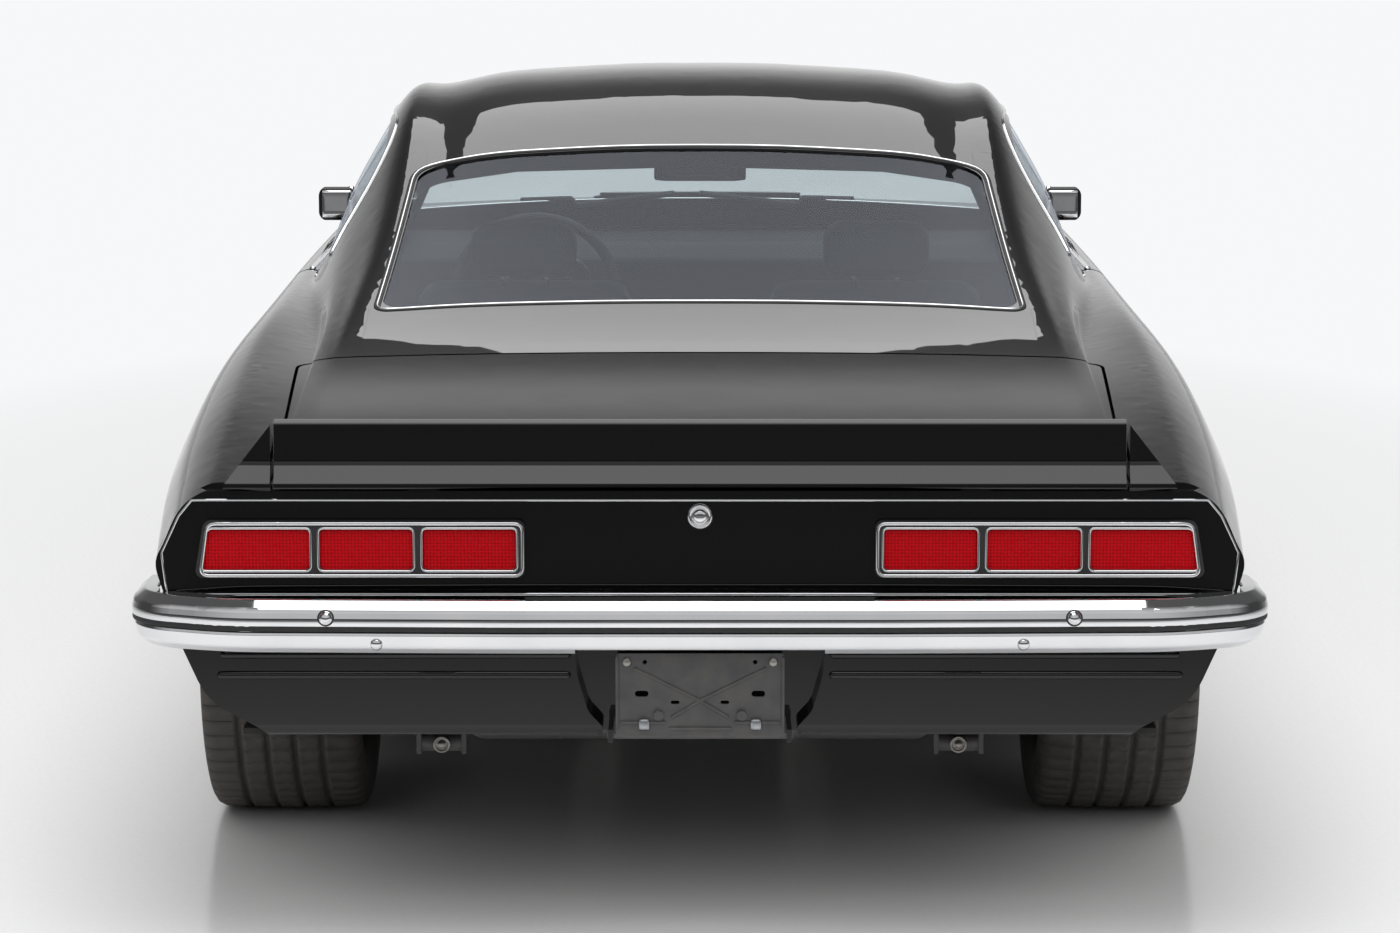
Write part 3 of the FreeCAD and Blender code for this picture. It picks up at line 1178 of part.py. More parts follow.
def tail_lamps():
    """Lamp frames on both sides of the tail panel, each with three windows."""
    z0, z1 = TAIL_LAMP_Z
    frame = front_prism(lamp_outline(282, 806, z0, z1, 8), TAIL_Y + SEAT_GAP, TAIL_Y + 18, [12, 12, 12, 12])
    for i, (x0, x1) in enumerate(TAIL_LENSES):
        slant = 7 if i == 2 else 0
        frame = frame.cut(front_prism(lamp_outline(x0, x1, z0 + 13, z1 - 13, slant), TAIL_Y, TAIL_Y + 40, 8))
    return both(frame)


def tail_lenses():
    z0, z1 = TAIL_LAMP_Z
    shapes = []
    g = SEAT_GAP
    for i, (x0, x1) in enumerate(TAIL_LENSES):
        slant = 7 if i == 2 else 0
        outline = lamp_outline(x0 + g, x1 - g, z0 + 13 + g, z1 - 13 - g, slant)
        lens = front_prism(outline, TAIL_Y + SEAT_GAP, TAIL_Y + 12, 7.7)
        shapes += [lens, mirrored(lens)]
    return Part.makeCompound(shapes)


def plate_bracket():
    """Pressed plate holder, hinged at its lower edge: crossed ribs, slots, flanges and two stops."""
    face = BRACKET_Y + 5
    top = BRACKET_AXIS_Z + 135
    plate = [(-136, BRACKET_AXIS_Z - 4), (136, BRACKET_AXIS_Z - 4), (136, top), (-136, top)]
    shape = front_prism(plate, BRACKET_Y, face, [0, 0, 6, 6])
    axis = rod((-LUG_X - 10, BRACKET_Y, BRACKET_AXIS_Z), (LUG_X + 10, BRACKET_Y, BRACKET_AXIS_Z), BRACKET_PIN)
    ribs = [rod((0, face, BRACKET_AXIS_Z + 58), (x, face, z), 3) for x, z in
            ((-106, top - 24), (106, top - 24), (-46, BRACKET_AXIS_Z + 30), (46, BRACKET_AXIS_Z + 30))]
    flange = [box(x, x + 4, face - 1, face + 4, BRACKET_AXIS_Z + 14, top - 6) for x in (-136, 132)]
    steps = [box(-50, 50, face - 1, face + 3, BRACKET_AXIS_Z + 10, BRACKET_AXIS_Z + 14)]
    for side in (1, -1):
        x0, x1 = sorted((side * 56, side * 128))
        steps.append(box(x0, x1, face - 1, face + 3, BRACKET_AXIS_Z + 20, BRACKET_AXIS_Z + 24))
        stop_z = BRACKET_AXIS_Z + 34
        steps.append(rod((side * 67, face - 2, stop_z), (side * 67, face + 7, stop_z), 8))
    shape = shape.fuse([axis] + ribs + flange + steps)
    for x in (-PLATE_HOLE_SPACING / 2, PLATE_HOLE_SPACING / 2):
        shape = shape.cut(rod((x, BRACKET_Y - 20, PLATE_HOLE_Z), (x, BRACKET_Y + 20, PLATE_HOLE_Z), 3.6))
    for x, z, half, high in ((94, 69, 11, 5), (40, 55, 7, 3)):
        for side in (1, -1):
            x0, x1 = side * x - half, side * x + half
            z0, z1 = BRACKET_AXIS_Z + z - high, BRACKET_AXIS_Z + z + high
            slot = [(x0, z0), (x1, z0), (x1, z1), (x0, z1)]
            shape = shape.cut(front_prism(slot, BRACKET_Y - 10, face + 10, high - 0.2))
    return largest(shape.removeSplitter())


GLASS_TOP = BELT + 360
GLASS_INNER_X = 480.0


def glass_region(corners):
    """Everything between the side-view corners, on the left side of the cabin."""
    return side_prism(corners, GLASS_INNER_X, CABIN_HALF_WIDTH + 155)


def quarter_windows():
    low, high = DOOR_GLASS_REAR
    front = [(low[0] + 12, BELT - 20), (high[0] + 16, GLASS_TOP)]
    edge = glass_region([front[0], (660, BELT - 20), (660, GLASS_TOP), front[1]])
    pane = SIDE_GLASS.common(side_window_prism(SEAT_GAP)).common(edge)
    return both(largest(pane))


def door_glass():
    low, high = DOOR_GLASS_REAR
    foot = BELT + SEAT_GAP
    edge = glass_region([(-700, foot), (low[0], foot), (high[0], GLASS_TOP), (-700, GLASS_TOP)])
    strip = glass_region([(-640, foot), (low[0], foot), (low[0] - 1, BELT + 30), (-640, BELT + 15)])
    return largest(SIDE_GLASS.common(side_window_prism(6).fuse(strip)).common(edge))


def build_body():
    """Body panels, glass and lamps."""
    save("floor_pan", floor_pan())
    save("cowl_panel", cowl_panel())
    save("roof_panel", roof_panel())
    save_pair("quarter", Part.makeCompound([quarter(), spoiler_end()]))
    save_pair("fender", fender())
    save("deck_panel", deck_panel())
    save("tail_panel", tail_panel())
    save("rear_valance", rear_valance())
    save("nose_panel", nose_panel())
    save("front_bumper", front_bumper())
    save("rear_bumper", rear_bumper())
    save("grille", grille())
    save("headlamps", front_lamps())
    save("tail_lamps", tail_lamps())
    save("tail_lenses", tail_lenses())
    save("windshield", windshield())
    save("rear_window", rear_window())
    save("quarter_windows", quarter_windows())


def build_moving_panels():
    """Hood, trunk lid, doors and plate bracket."""
    save("hood", hood())
    save("trunk_lid", trunk_lid())
    save("spoiler", spoiler())
    save_pair("door", Part.makeCompound([door(), mirror()]))
    save_pair("door_glass", door_glass())
    save("plate_bracket", plate_bracket())


def build_chassis_and_cabin():
    """What hangs under the floor and what stands on it."""
    save("front_subframe", front_subframe())
    save("engine_block", engine_block())
    save("rear_axle", rear_axle())
    save("exhaust", exhaust())
    save("fuel_tank", fuel_tank())
    save("dashboard", dashboard())
    save("steering_wheel", steering_wheel())
    save("front_seats", front_seats())
    save("rear_seat", rear_seat())
    save_pair("knuckle", knuckle())


def build_wheels():
    """Tyres and rims of both axles."""
    for name, y, radius, width, track in WHEELS:
        save_pair("tyre_" + name, tyre(track / 2, y, radius, width))
        save_pair("rim_" + name, rim(track / 2, y, radius, width, HUB_BORE))


def main():
    os.makedirs("parts", exist_ok=True)
    build_body()
    build_moving_panels()
    build_chassis_and_cabin()
    build_wheels()


main()
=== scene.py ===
import math

import bmesh
import bpy
from mathutils import Matrix, Vector
from mathutils.bvhtree import BVHTree


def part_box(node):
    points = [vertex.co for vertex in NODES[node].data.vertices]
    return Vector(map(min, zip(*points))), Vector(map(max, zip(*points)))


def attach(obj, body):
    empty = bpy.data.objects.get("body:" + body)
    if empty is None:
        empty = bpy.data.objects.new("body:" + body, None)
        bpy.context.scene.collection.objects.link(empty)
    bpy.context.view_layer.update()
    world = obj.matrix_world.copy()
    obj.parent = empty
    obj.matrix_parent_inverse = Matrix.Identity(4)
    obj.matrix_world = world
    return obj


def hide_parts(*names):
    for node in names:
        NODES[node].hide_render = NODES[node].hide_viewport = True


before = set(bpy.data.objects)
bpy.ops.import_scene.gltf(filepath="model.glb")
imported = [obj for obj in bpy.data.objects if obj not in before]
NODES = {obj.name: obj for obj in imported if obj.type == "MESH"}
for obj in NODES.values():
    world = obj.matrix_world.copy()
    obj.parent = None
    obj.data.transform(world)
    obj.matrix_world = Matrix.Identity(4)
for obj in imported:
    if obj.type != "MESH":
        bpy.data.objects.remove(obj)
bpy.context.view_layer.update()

# Lengths are in metres. The car faces -Y, its left side is +X, and the camera stands behind it.
MM = 0.001
LEFT_AND_RIGHT = (("left", 1), ("right", -1))
BACKWARD = Vector((0, 1, 0))
FORWARD = Vector((0, -1, 0))
DOWN = Vector((0, 0, -1))
BEHIND_CAR = 2.6
AHEAD_OF_CAR = -2.7
BESIDE_CAR = 1.3


# Camera

CAMERA_AT = (0.0, 8.762, 1.789)
CAMERA_PITCH = math.radians(8.82)
LENS = 105.2
SENSOR_WIDTH = 36.0
SIGHT = 200.0


def add_camera():
    """Camera behind the car that looks forwards and a little down."""
    data = bpy.data.cameras.new("camera")
    data.sensor_width = SENSOR_WIDTH
    data.lens = LENS
    data.clip_end = SIGHT
    camera = bpy.data.objects.new("camera", data)
    camera.location = CAMERA_AT
    camera.rotation_euler = (math.pi / 2 - CAMERA_PITCH, 0.0, math.pi)
    bpy.context.scene.collection.objects.link(camera)
    bpy.context.scene.camera = camera
    bpy.context.scene.view_settings.view_transform = "Standard"


# Shader nodes

PATCH_EDGES = (0.3, 0.7)


def add_node(nt, kind, **sockets):
    """Shader node with some sockets set; an underscore in a socket's name stands for a space."""
    node = nt.nodes.new("ShaderNode" + kind)
    for name, value in sockets.items():
        node.inputs[name.replace("_", " ")].default_value = value
    return node


def ramp(nt, factor, stops):
    """Colour ramp whose stops are a place and either a colour or a grey level."""
    node = add_node(nt, "ValToRGB")
    nt.links.new(factor, node.inputs["Fac"])
    elements = node.color_ramp.elements
    while len(elements) < len(stops):
        elements.new(0.5)
    for element, (place, colour) in zip(elements, stops):
        element.position = place
        element.color = (colour if isinstance(colour, tuple) else (colour,) * 3) + (1.0,)
    return node.outputs["Color"]


def patches(nt, noise, pair):
    """Ramp that lets a noise drift between the two values of a pair."""
    return ramp(nt, noise.outputs["Fac"], list(zip(PATCH_EDGES, pair)))


def calculate(nt, operation, *values):
    """Output of a math node whose inputs are numbers or sockets."""
    node = add_node(nt, "Math")
    node.operation = operation
    for socket, value in zip(node.inputs, values):
        if isinstance(value, (int, float)):
            socket.default_value = value
        else:
            nt.links.new(value, socket)
    return node.outputs[0]


def blend_colours(nt, factor, first, second):
    """Output of a colour mix of two sockets."""
    node = add_node(nt, "Mix")
    node.data_type = "RGBA"
    nt.links.new(factor, node.inputs["Factor"])
    nt.links.new(first, node.inputs["A"])
    nt.links.new(second, node.inputs["B"])
    return node.outputs["Result"]


def blend_shaders(nt, factor, first, second, output):
    """Mix of two shaders, led to the surface of an output node."""
    node = add_node(nt, "MixShader")
    nt.links.new(factor, node.inputs["Fac"])
    nt.links.new(first.outputs[0], node.inputs[1])
    nt.links.new(second.outputs[0], node.inputs[2])
    nt.links.new(node.outputs[0], output.inputs["Surface"])


def object_noise(nt, **sockets):
    """Noise that lies still on the object."""
    noise = add_node(nt, "TexNoise", **sockets)
    nt.links.new(add_node(nt, "TexCoord").outputs["Object"], noise.inputs["Vector"])
    return noise


def object_axes(nt):
    """Separate x, y and z of a point in the object's own frame."""
    axes = add_node(nt, "SeparateXYZ")
    nt.links.new(add_node(nt, "TexCoord").outputs["Object"], axes.inputs[0])
    return axes


def add_bump(nt, shader, height, strength, distance):
    """Relief on a shader from a height socket."""
    bump = add_node(nt, "Bump", Strength=strength, Distance=distance)
    nt.links.new(height, bump.inputs["Height"])
    nt.links.new(bump.outputs[0], shader.inputs["Normal"])


def seen_straight(nt):
    """One where a ray comes from the camera or through glass."""
    path = add_node(nt, "LightPath")
    return calculate(nt, "MAXIMUM", path.outputs["Is Camera Ray"], path.outputs["Is Transmission Ray"])


# World and lamps

# Levels along the car, from its front to behind the camera, then from the horizon upwards
WALL_LEVELS = [(0.0, 0.80), (0.02, 0.62), (0.08, 0.16), (0.3, 0.06), (1.0, 0.05)]
CEILING_LEVELS = [(0.0, 0.10), (0.5, 0.10), (0.72, 0.50), (1.0, 0.70)]
CEILING_EDGE = [(0.36, 0.0), (0.58, 1.0)]
CEILING_EDGE_BEHIND = [(0.10, 0.0), (0.30, 1.0)]
BACKDROP = (0.94, 0.945, 0.955, 1.0)


def build_world():
    """Dark room behind the camera, pale wall ahead of the car, and a ceiling that is lighter behind."""
    world = bpy.data.worlds.new("studio")
    bpy.context.scene.world = world
    world.use_nodes = True
    nt = world.node_tree
    nt.nodes.clear()
    output = add_node(nt, "OutputWorld")
    axes = add_node(nt, "SeparateXYZ")
    nt.links.new(add_node(nt, "TexCoord").outputs["Generated"], axes.inputs[0])
    along, up = axes.outputs["Y"], axes.outputs["Z"]
    share = calculate(nt, "MULTIPLY_ADD", along, 0.5, 0.5)
    behind = calculate(nt, "GREATER_THAN", along, 0.0)
    low_edge = calculate(nt, "MULTIPLY", behind, ramp(nt, up, CEILING_EDGE_BEHIND))
    height = calculate(nt, "MAXIMUM", ramp(nt, up, CEILING_EDGE), low_edge)
    room = add_node(nt, "Background")
    walls = ramp(nt, share, WALL_LEVELS)
    ceiling = ramp(nt, share, CEILING_LEVELS)
    nt.links.new(blend_colours(nt, height, walls, ceiling), room.inputs["Color"])
    backdrop = add_node(nt, "Background", Color=BACKDROP)
    blend_shaders(nt, seen_straight(nt), room, backdrop, output)


def area_light(name, place, target, size, radiance, glossy=False):
    """Rectangular lamp of an even radiance, aimed at a target."""
    data = bpy.data.lights.new(name, "AREA")
    data.shape = "RECTANGLE"
    data.size, data.size_y = size
    data.energy = radiance * math.pi * data.size * data.size_y
    light = bpy.data.objects.new(name, data)
    light.location = place
    light.rotation_euler = (Vector(target) - Vector(place)).to_track_quat("-Z", "Y").to_euler()
    light.visible_glossy = glossy
    bpy.context.scene.collection.objects.link(light)


def add_lamps():
    """One overhead lamp that shows in the paint and two fills that don't."""
    area_light("overhead", place=(0.0, 0.3, 4.4), target=(0.0, 0.3, 0.0), size=(2.8, 8.2), radiance=2.25,
               glossy=True)
    area_light("fill", place=(0.0, 0.0, 6.0), target=(0.0, 0.0, 0.0), size=(14.0, 14.0), radiance=0.75)
    area_light("rear_fill", place=(0.0, 6.6, 3.6), target=(0.0, 2.4, 0.2), size=(7.0, 3.0), radiance=1.5)


# Materials

NOISE_DETAIL = 4.0
GRAIN_DETAIL = 3.0
GRAIN_DEPTH = 0.001
BASE_IOR = 1.5


def new_material(name):
    """New material with its node tree and its Principled shader."""
    mat = bpy.data.materials.new(name)
    mat.use_nodes = True
    return mat, mat.node_tree, mat.node_tree.nodes["Principled BSDF"]


def material(name, colours, roughness, scale, metallic=0.0, coat=0.0, coat_rough=0.03, specular=0.5,
             grain=0.0, grain_scale=200.0):
    """Material whose colour and roughness drift between two values, with or without a fine grain."""
    mat, nt, shader = new_material(name)
    cloud = object_noise(nt, Scale=scale, Detail=NOISE_DETAIL)
    nt.links.new(patches(nt, cloud, colours), shader.inputs["Base Color"])
    nt.links.new(patches(nt, cloud, roughness), shader.inputs["Roughness"])
    shader.inputs["Metallic"].default_value = metallic
    shader.inputs["Coat Weight"].default_value = coat
    shader.inputs["Coat Roughness"].default_value = coat_rough
    shader.inputs["Specular IOR Level"].default_value = specular
    shader.inputs["IOR"].default_value = BASE_IOR
    if grain:
        fine = object_noise(nt, Scale=grain_scale, Detail=GRAIN_DETAIL)
        add_bump(nt, shader, fine.outputs["Fac"], grain, GRAIN_DEPTH)
    return mat


PAINT = material("paint", [(0.0020, 0.0020, 0.0022), (0.0030, 0.0029, 0.0031)], roughness=(0.34, 0.40),
                 scale=700.0, coat=1.0, coat_rough=0.012, specular=0.04)
CHROME = material("chrome", [(0.80, 0.80, 0.81), (0.72, 0.73, 0.75)], roughness=(0.035, 0.075), scale=9.0,
                  metallic=1.0)
WHEEL = material("wheel_metal", [(0.42, 0.43, 0.45), (0.34, 0.35, 0.37)], roughness=(0.26, 0.34), scale=60.0,
                 metallic=1.0, grain=0.08, grain_scale=400.0)
RUBBER = material("rubber", [(0.066, 0.062, 0.058), (0.098, 0.091, 0.084)], roughness=(0.62, 0.80),
                  scale=38.0, specular=0.35, grain=0.35, grain_scale=620.0)
UNDER = material("underbody", [(0.018, 0.018, 0.018), (0.030, 0.029, 0.027)], roughness=(0.70, 0.90),
                 scale=24.0, grain=0.4, grain_scale=160.0)
STEEL = material("steel", [(0.42, 0.41, 0.38), (0.30, 0.29, 0.27)], roughness=(0.36, 0.50), scale=45.0,
                 metallic=1.0, grain=0.2, grain_scale=240.0)
IRON = material("iron", [(0.10, 0.10, 0.105), (0.15, 0.145, 0.14)], roughness=(0.55, 0.70), scale=30.0,
                metallic=0.6, grain=0.3, grain_scale=180.0)
GRILLE = material("grille_black", [(0.012, 0.012, 0.013), (0.02, 0.02, 0.021)], roughness=(0.42, 0.50),
                  scale=40.0, grain=0.1, grain_scale=300.0)
TRIM = material("trim_black", [(0.016, 0.016, 0.017), (0.024, 0.024, 0.025)], roughness=(0.55, 0.66),
                scale=60.0, grain=0.35, grain_scale=900.0)
VINYL = material("seat_vinyl", [(0.022, 0.023, 0.026), (0.034, 0.035, 0.039)], roughness=(0.45, 0.60),
                 scale=35.0, grain=0.5, grain_scale=850.0)

GLASS_PATCH_SCALE = 2.0
GLASS_DARKER = 0.95
GLASS_GLOSS = (0.86, 0.90, 1.0, 1.0)
GLASS_ROUGHNESS = 0.02


def glass_material(name, tint, ior):
    """Thin clear glass that is glossy on its outer side only."""
    mat, nt, _ = new_material(name)
    nt.nodes.clear()
    output = add_node(nt, "OutputMaterial")
    cloud = object_noise(nt, Scale=GLASS_PATCH_SCALE)
    clear = add_node(nt, "BsdfTransparent")
    darker = tuple(c * GLASS_DARKER for c in tint)
    nt.links.new(patches(nt, cloud, (tint, darker)), clear.inputs["Color"])
    gloss = add_node(nt, "BsdfGlossy", Roughness=GLASS_ROUGHNESS, Color=GLASS_GLOSS)
    fresnel = add_node(nt, "Fresnel", IOR=ior)
    outside = calculate(nt, "SUBTRACT", 1.0, add_node(nt, "NewGeometry").outputs["Backfacing"])
    blend_shaders(nt, calculate(nt, "MULTIPLY", fresnel.outputs[0], outside), clear, gloss, output)
    return mat


WINDOW = glass_material("window_glass", tint=(0.83, 0.865, 0.87), ior=1.2)
LAMP_GLASS = glass_material("lamp_glass", tint=(0.93, 0.94, 0.95), ior=1.5)

FACET_PITCH = 0.011
# Reds from the facets' hollows to their tops: painted shade in the hollows, painted highlight on the tops
FACET_PAINTED_LIGHT = [(0.0, (0.30, 0.002, 0.005)), (1.0, (0.62, 0.002, 0.007))]
FACET_RELIEF = 0.6
FACET_DEPTH = 0.002


def red_lens():
    """Red lens with small crossed facets; its red is painted lighter on the facets' tops and darker in their
    hollows, as painted highlight and painted shade.
    """
    mat, nt, shader = new_material("red_lens")
    axes = object_axes(nt)
    x, z = axes.outputs["X"], axes.outputs["Z"]
    waves = []
    for operation in ("ADD", "SUBTRACT"):
        turn = calculate(nt, "MULTIPLY", calculate(nt, operation, x, z), 2 * math.pi / FACET_PITCH)
        waves.append(calculate(nt, "SINE", turn))
    shade = calculate(nt, "MULTIPLY_ADD", calculate(nt, "MULTIPLY", *waves), 0.5, 0.5)
    # The facets' relief sets the red: painted shade in the hollows and painted highlight on the tops
    nt.links.new(ramp(nt, shade, FACET_PAINTED_LIGHT), shader.inputs["Base Color"])
    add_bump(nt, shader, shade, FACET_RELIEF, FACET_DEPTH)
    shader.inputs["Roughness"].default_value = 0.22
    shader.inputs["Coat Weight"].default_value = 0.05
    shader.inputs["Coat Roughness"].default_value = 0.02
    shader.inputs["Specular IOR Level"].default_value = 0.08
    return mat


RED = red_lens()


# Meshes

def make_object(name, verts, faces, mat, smooth=True):
    """Mesh object with one material, linked to the scene."""
    mesh = bpy.data.meshes.new(name)
    mesh.from_pydata([tuple(v) for v in verts], [], faces)
    mesh.update()
    mesh.materials.append(mat)
    if smooth:
        mesh.polygons.foreach_set("use_smooth", [True] * len(mesh.polygons))
    obj = bpy.data.objects.new(name, mesh)
    bpy.context.scene.collection.objects.link(obj)
    return obj


def merge(parts):
    """One list of vertices and one of faces from several."""
    verts, faces = [], []
    for part_verts, part_faces in parts:
        base = len(verts)
        verts += part_verts
        faces += [tuple(base + i for i in face) for face in part_faces]
    return verts, faces


def solid(name, parts, mat, body="body", smooth=True):
    """Piece made of closed parts and the body that it rides on."""
    verts, faces = merge(parts)
    obj = make_object(name, verts, faces, mat, smooth)
    bm = bmesh.new()
    bm.from_mesh(obj.data)
    bmesh.ops.recalc_face_normals(bm, faces=bm.faces)
    bm.to_mesh(obj.data)
    bm.free()
    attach(obj, body)
    return obj


def surface(*names):
    """Ray target made of the faces of some nodes."""
    verts, faces = [], []
    for name in names:
        obj = NODES[name]
        base = len(verts)
        verts += [obj.matrix_world @ v.co for v in obj.data.vertices]
        faces += [[base + i for i in p.vertices] for p in obj.data.polygons]
    return BVHTree.FromPolygons(verts, faces)


def cast(tree, origins, direction):
    """Point and outward normal of each parallel ray that meets a surface."""
    found = []
    for origin in origins:
        place, normal, _, _ = tree.ray_cast(Vector(origin), Vector(direction))
        if place is not None:
            found.append((place, -normal if normal.dot(Vector(direction)) > 0 else normal))
    return found


def dense(points, step, closed=False):
    """Points spaced about evenly along an outline."""
    points = [Vector(p) for p in points]
    result = []
    for a, b in zip(points, points[1:] + points[:1] if closed else points[1:]):
        n = max(1, round((b - a).length / step))
        result += [a.lerp(b, i / n) for i in range(n)]
    return result if closed else result + points[-1:]


ROUND_STEPS = 6
ROUND_SHARE = 0.48


def rounded(points, radii, closed=True):
    """Outline with its corners rounded, each by its own radius."""
    points = [Vector(p) for p in points]
    result = []
    for i, (here, radius) in enumerate(zip(points, radii)):
        if not closed and i in (0, len(points) - 1):
            result.append(here)
            continue
        before = points[i - 1] - here
        after = points[(i + 1) % len(points)] - here
        cut = min(radius, ROUND_SHARE * before.length, ROUND_SHARE * after.length)
        a, b = here + before.normalized() * cut, here + after.normalized() * cut
        for k in range(ROUND_STEPS + 1):
            t = k / ROUND_STEPS
            result.append(a * (1 - t) ** 2 + here * 2 * t * (1 - t) + b * t * t)
    return result


NORMAL_REACH = 3


def evened(path, closed=False):
    """Path with each normal averaged with its neighbours'."""
    last = len(path) - 1
    result = []
    for i, (point, _) in enumerate(path):
        total = Vector()
        for j in range(i - NORMAL_REACH, i + NORMAL_REACH + 1):
            total += path[j % len(path) if closed else max(0, min(last, j))][1]
        result.append((point, total.normalized()))
    return result


def mirrored(path):
    """Path on the other side of the car."""
    return [(Vector((-p.x, p.y, p.z)), Vector((-n.x, n.y, n.z))) for p, n in path]


# Crowned section of a moulding: share of its width, share of its height
CROWN = [(-0.5, 0.35), (-0.36, 0.8), (-0.12, 1.0), (0.12, 1.0), (0.36, 0.8), (0.5, 0.35)]


def strip(name, path, size, mat, body="body", closed=False, sink=1.0):
    """Crowned moulding along a path of points and normals.

    size is its width and height; its foot lies sink times its height below the path.
    """
    width, height = size
    section = [(-0.5, -sink)] + CROWN + [(0.5, -sink)]
    n, m = len(path), len(section)
    verts, faces = [], []
    for i, (point, normal) in enumerate(path):
        before = path[i - 1][0] if closed or i else point
        after = path[(i + 1) % n][0] if closed or i < n - 1 else point
        side = (after - before).normalized().cross(normal).normalized()
        verts += [point + side * (across * width) + normal * (up * height) for across, up in section]
    for i in range(n if closed else n - 1):
        j = (i + 1) % n
        for k in range(m):
            l = (k + 1) % m
            faces.append((i * m + k, i * m + l, j * m + l, j * m + k))
    if not closed:
        faces.append(tuple(range(m)))
        faces.append(tuple((n - 1) * m + k for k in reversed(range(m))))
    return solid(name, [(verts, faces)], mat, body)


def lathe(profile, origin, axis, sides):
    """Turned form; its profile is a list of (distance along the axis, radius)."""
    origin, axis = Vector(origin), Vector(axis).normalized()
    a = axis.orthogonal().normalized()
    b = axis.cross(a)
    verts, faces, rings = [], [], []
    for along, radius in profile:
        centre = origin + axis * along
        count = sides if radius else 1
        rings.append([len(verts) + i for i in range(count)])
        for i in range(count):
            t = 2 * math.pi * i / sides
            verts.append(centre + (a * math.cos(t) + b * math.sin(t)) * radius)
    for first, second in zip(rings, rings[1:]):
        for i in range(sides):
            j = (i + 1) % sides
            if len(first) > 1 and len(second) > 1:
                faces.append((first[i], second[i], second[j], first[j]))
            elif len(second) > 1:
                faces.append((first[0], second[i], second[j]))
            elif len(first) > 1:
                faces.append((first[i], second[0], first[j]))
    return verts, faces


def lathes(profile, hits, sides, axis=None):
    """The same turned form at each hit, along the hit's normal or a given axis."""
    return [lathe(profile, place, axis or normal, sides) for place, normal in hits]


TINY = 1e-9


def cube_grid(cuts):
    """Vertices and faces of a cube from -1 to 1 whose sides are cut into squares."""
    verts, faces, index = [], [], {}

    def vertex(point):
        key = tuple(round(c, 5) for c in point)
        if key not in index:
            index[key] = len(verts)
            verts.append(Vector(point))
        return index[key]

    for axis in range(3):
        for sign in (-1, 1):
            for i in range(cuts):
                for j in range(cuts):
                    corners = []
                    for di, dj in ((0, 0), (1, 0), (1, 1), (0, 1)):
                        point = [0, 0, 0]
                        point[axis] = sign
                        point[(axis + 1) % 3] = -1 + 2 * (i + di) / cuts
                        point[(axis + 2) % 3] = -1 + 2 * (j + dj) / cuts
                        corners.append(vertex(point))
                    faces.append(tuple(corners if sign > 0 else reversed(corners)))
    return verts, faces


def block(half, radius, centre, turn=Matrix.Identity(3), cuts=6, shape=None):
    """Rounded block; shape, when given, moves each point in the block's own frame."""
    grid, faces = cube_grid(cuts)
    verts = []
    for unit in grid:
        point = Vector([u * h for u, h in zip(unit, half)])
        inner = Vector([max(-h + radius, min(h - radius, p)) for p, h in zip(point, half)])
        if (point - inner).length > TINY:
            point = inner + (point - inner).normalized() * radius
        if shape:
            point = shape(point, unit)
        verts.append(turn @ point + Vector(centre))
    return verts, faces


def tilt(degrees):
    """Turn about the car's cross axis."""
    return Matrix.Rotation(math.radians(degrees), 3, "X")


# Floor

FLOOR_REACH = 60.0
FLOOR_SCALE = 90.0
FLOOR_PALE = (0.84, 0.86)
FLOOR_ROUGHNESS = (0.16, 0.21)

# Levels along the floor as reflections see them, then the fade to an even glow away from the car
FLOOR_DARK = [(0.35, 0.86), (0.46, 0.45), (0.53, 0.05), (0.84, 0.05), (0.92, 0.86)]
FLOOR_DARK_LENGTH = 10.0
LIT_OVAL = (1.5, 2.9)
FADE_LENGTH = 4.0
FADE = [(0.25, 0.0), (0.55, 1.0)]
FLOOR_GLOW = (0.93, 0.935, 0.945, 1.0)


def floor_material():
    """Pale floor that keeps the shadow and fades to an even backdrop, with a dark band for reflections."""
    mat, nt, shader = new_material("studio_floor")
    output = nt.nodes["Material Output"]
    cloud = object_noise(nt, Scale=FLOOR_SCALE, Detail=NOISE_DETAIL)
    share = calculate(nt, "DIVIDE", object_axes(nt).outputs["Y"], FLOOR_DARK_LENGTH)
    camera_ray = add_node(nt, "LightPath").outputs["Is Camera Ray"]
    colour = blend_colours(nt, camera_ray, ramp(nt, share, FLOOR_DARK), patches(nt, cloud, FLOOR_PALE))
    nt.links.new(colour, shader.inputs["Base Color"])
    nt.links.new(patches(nt, cloud, FLOOR_ROUGHNESS), shader.inputs["Roughness"])
    shader.inputs["Specular IOR Level"].default_value = 0.5
    oval = add_node(nt, "Mapping", Scale=(1 / LIT_OVAL[0], 1 / LIT_OVAL[1], 1.0))
    nt.links.new(add_node(nt, "TexCoord").outputs["Object"], oval.inputs["Vector"])
    distance = add_node(nt, "VectorMath")
    distance.operation = "LENGTH"
    nt.links.new(oval.outputs[0], distance.inputs[0])
    far = ramp(nt, calculate(nt, "DIVIDE", distance.outputs["Value"], FADE_LENGTH), FADE)
    glow = add_node(nt, "Emission", Color=FLOOR_GLOW)
    blend_shaders(nt, calculate(nt, "MULTIPLY", far, seen_straight(nt)), shader, glow, output)
    return mat


def add_floor():
    """Large flat floor under the tyres."""
    corners = [(x * FLOOR_REACH, y * FLOOR_REACH, 0) for x, y in ((-1, -1), (1, -1), (1, 1), (-1, 1))]
    make_object("studio_floor", corners, [(0, 1, 2, 3)], floor_material(), smooth=False)


# Materials of the carried-over pieces

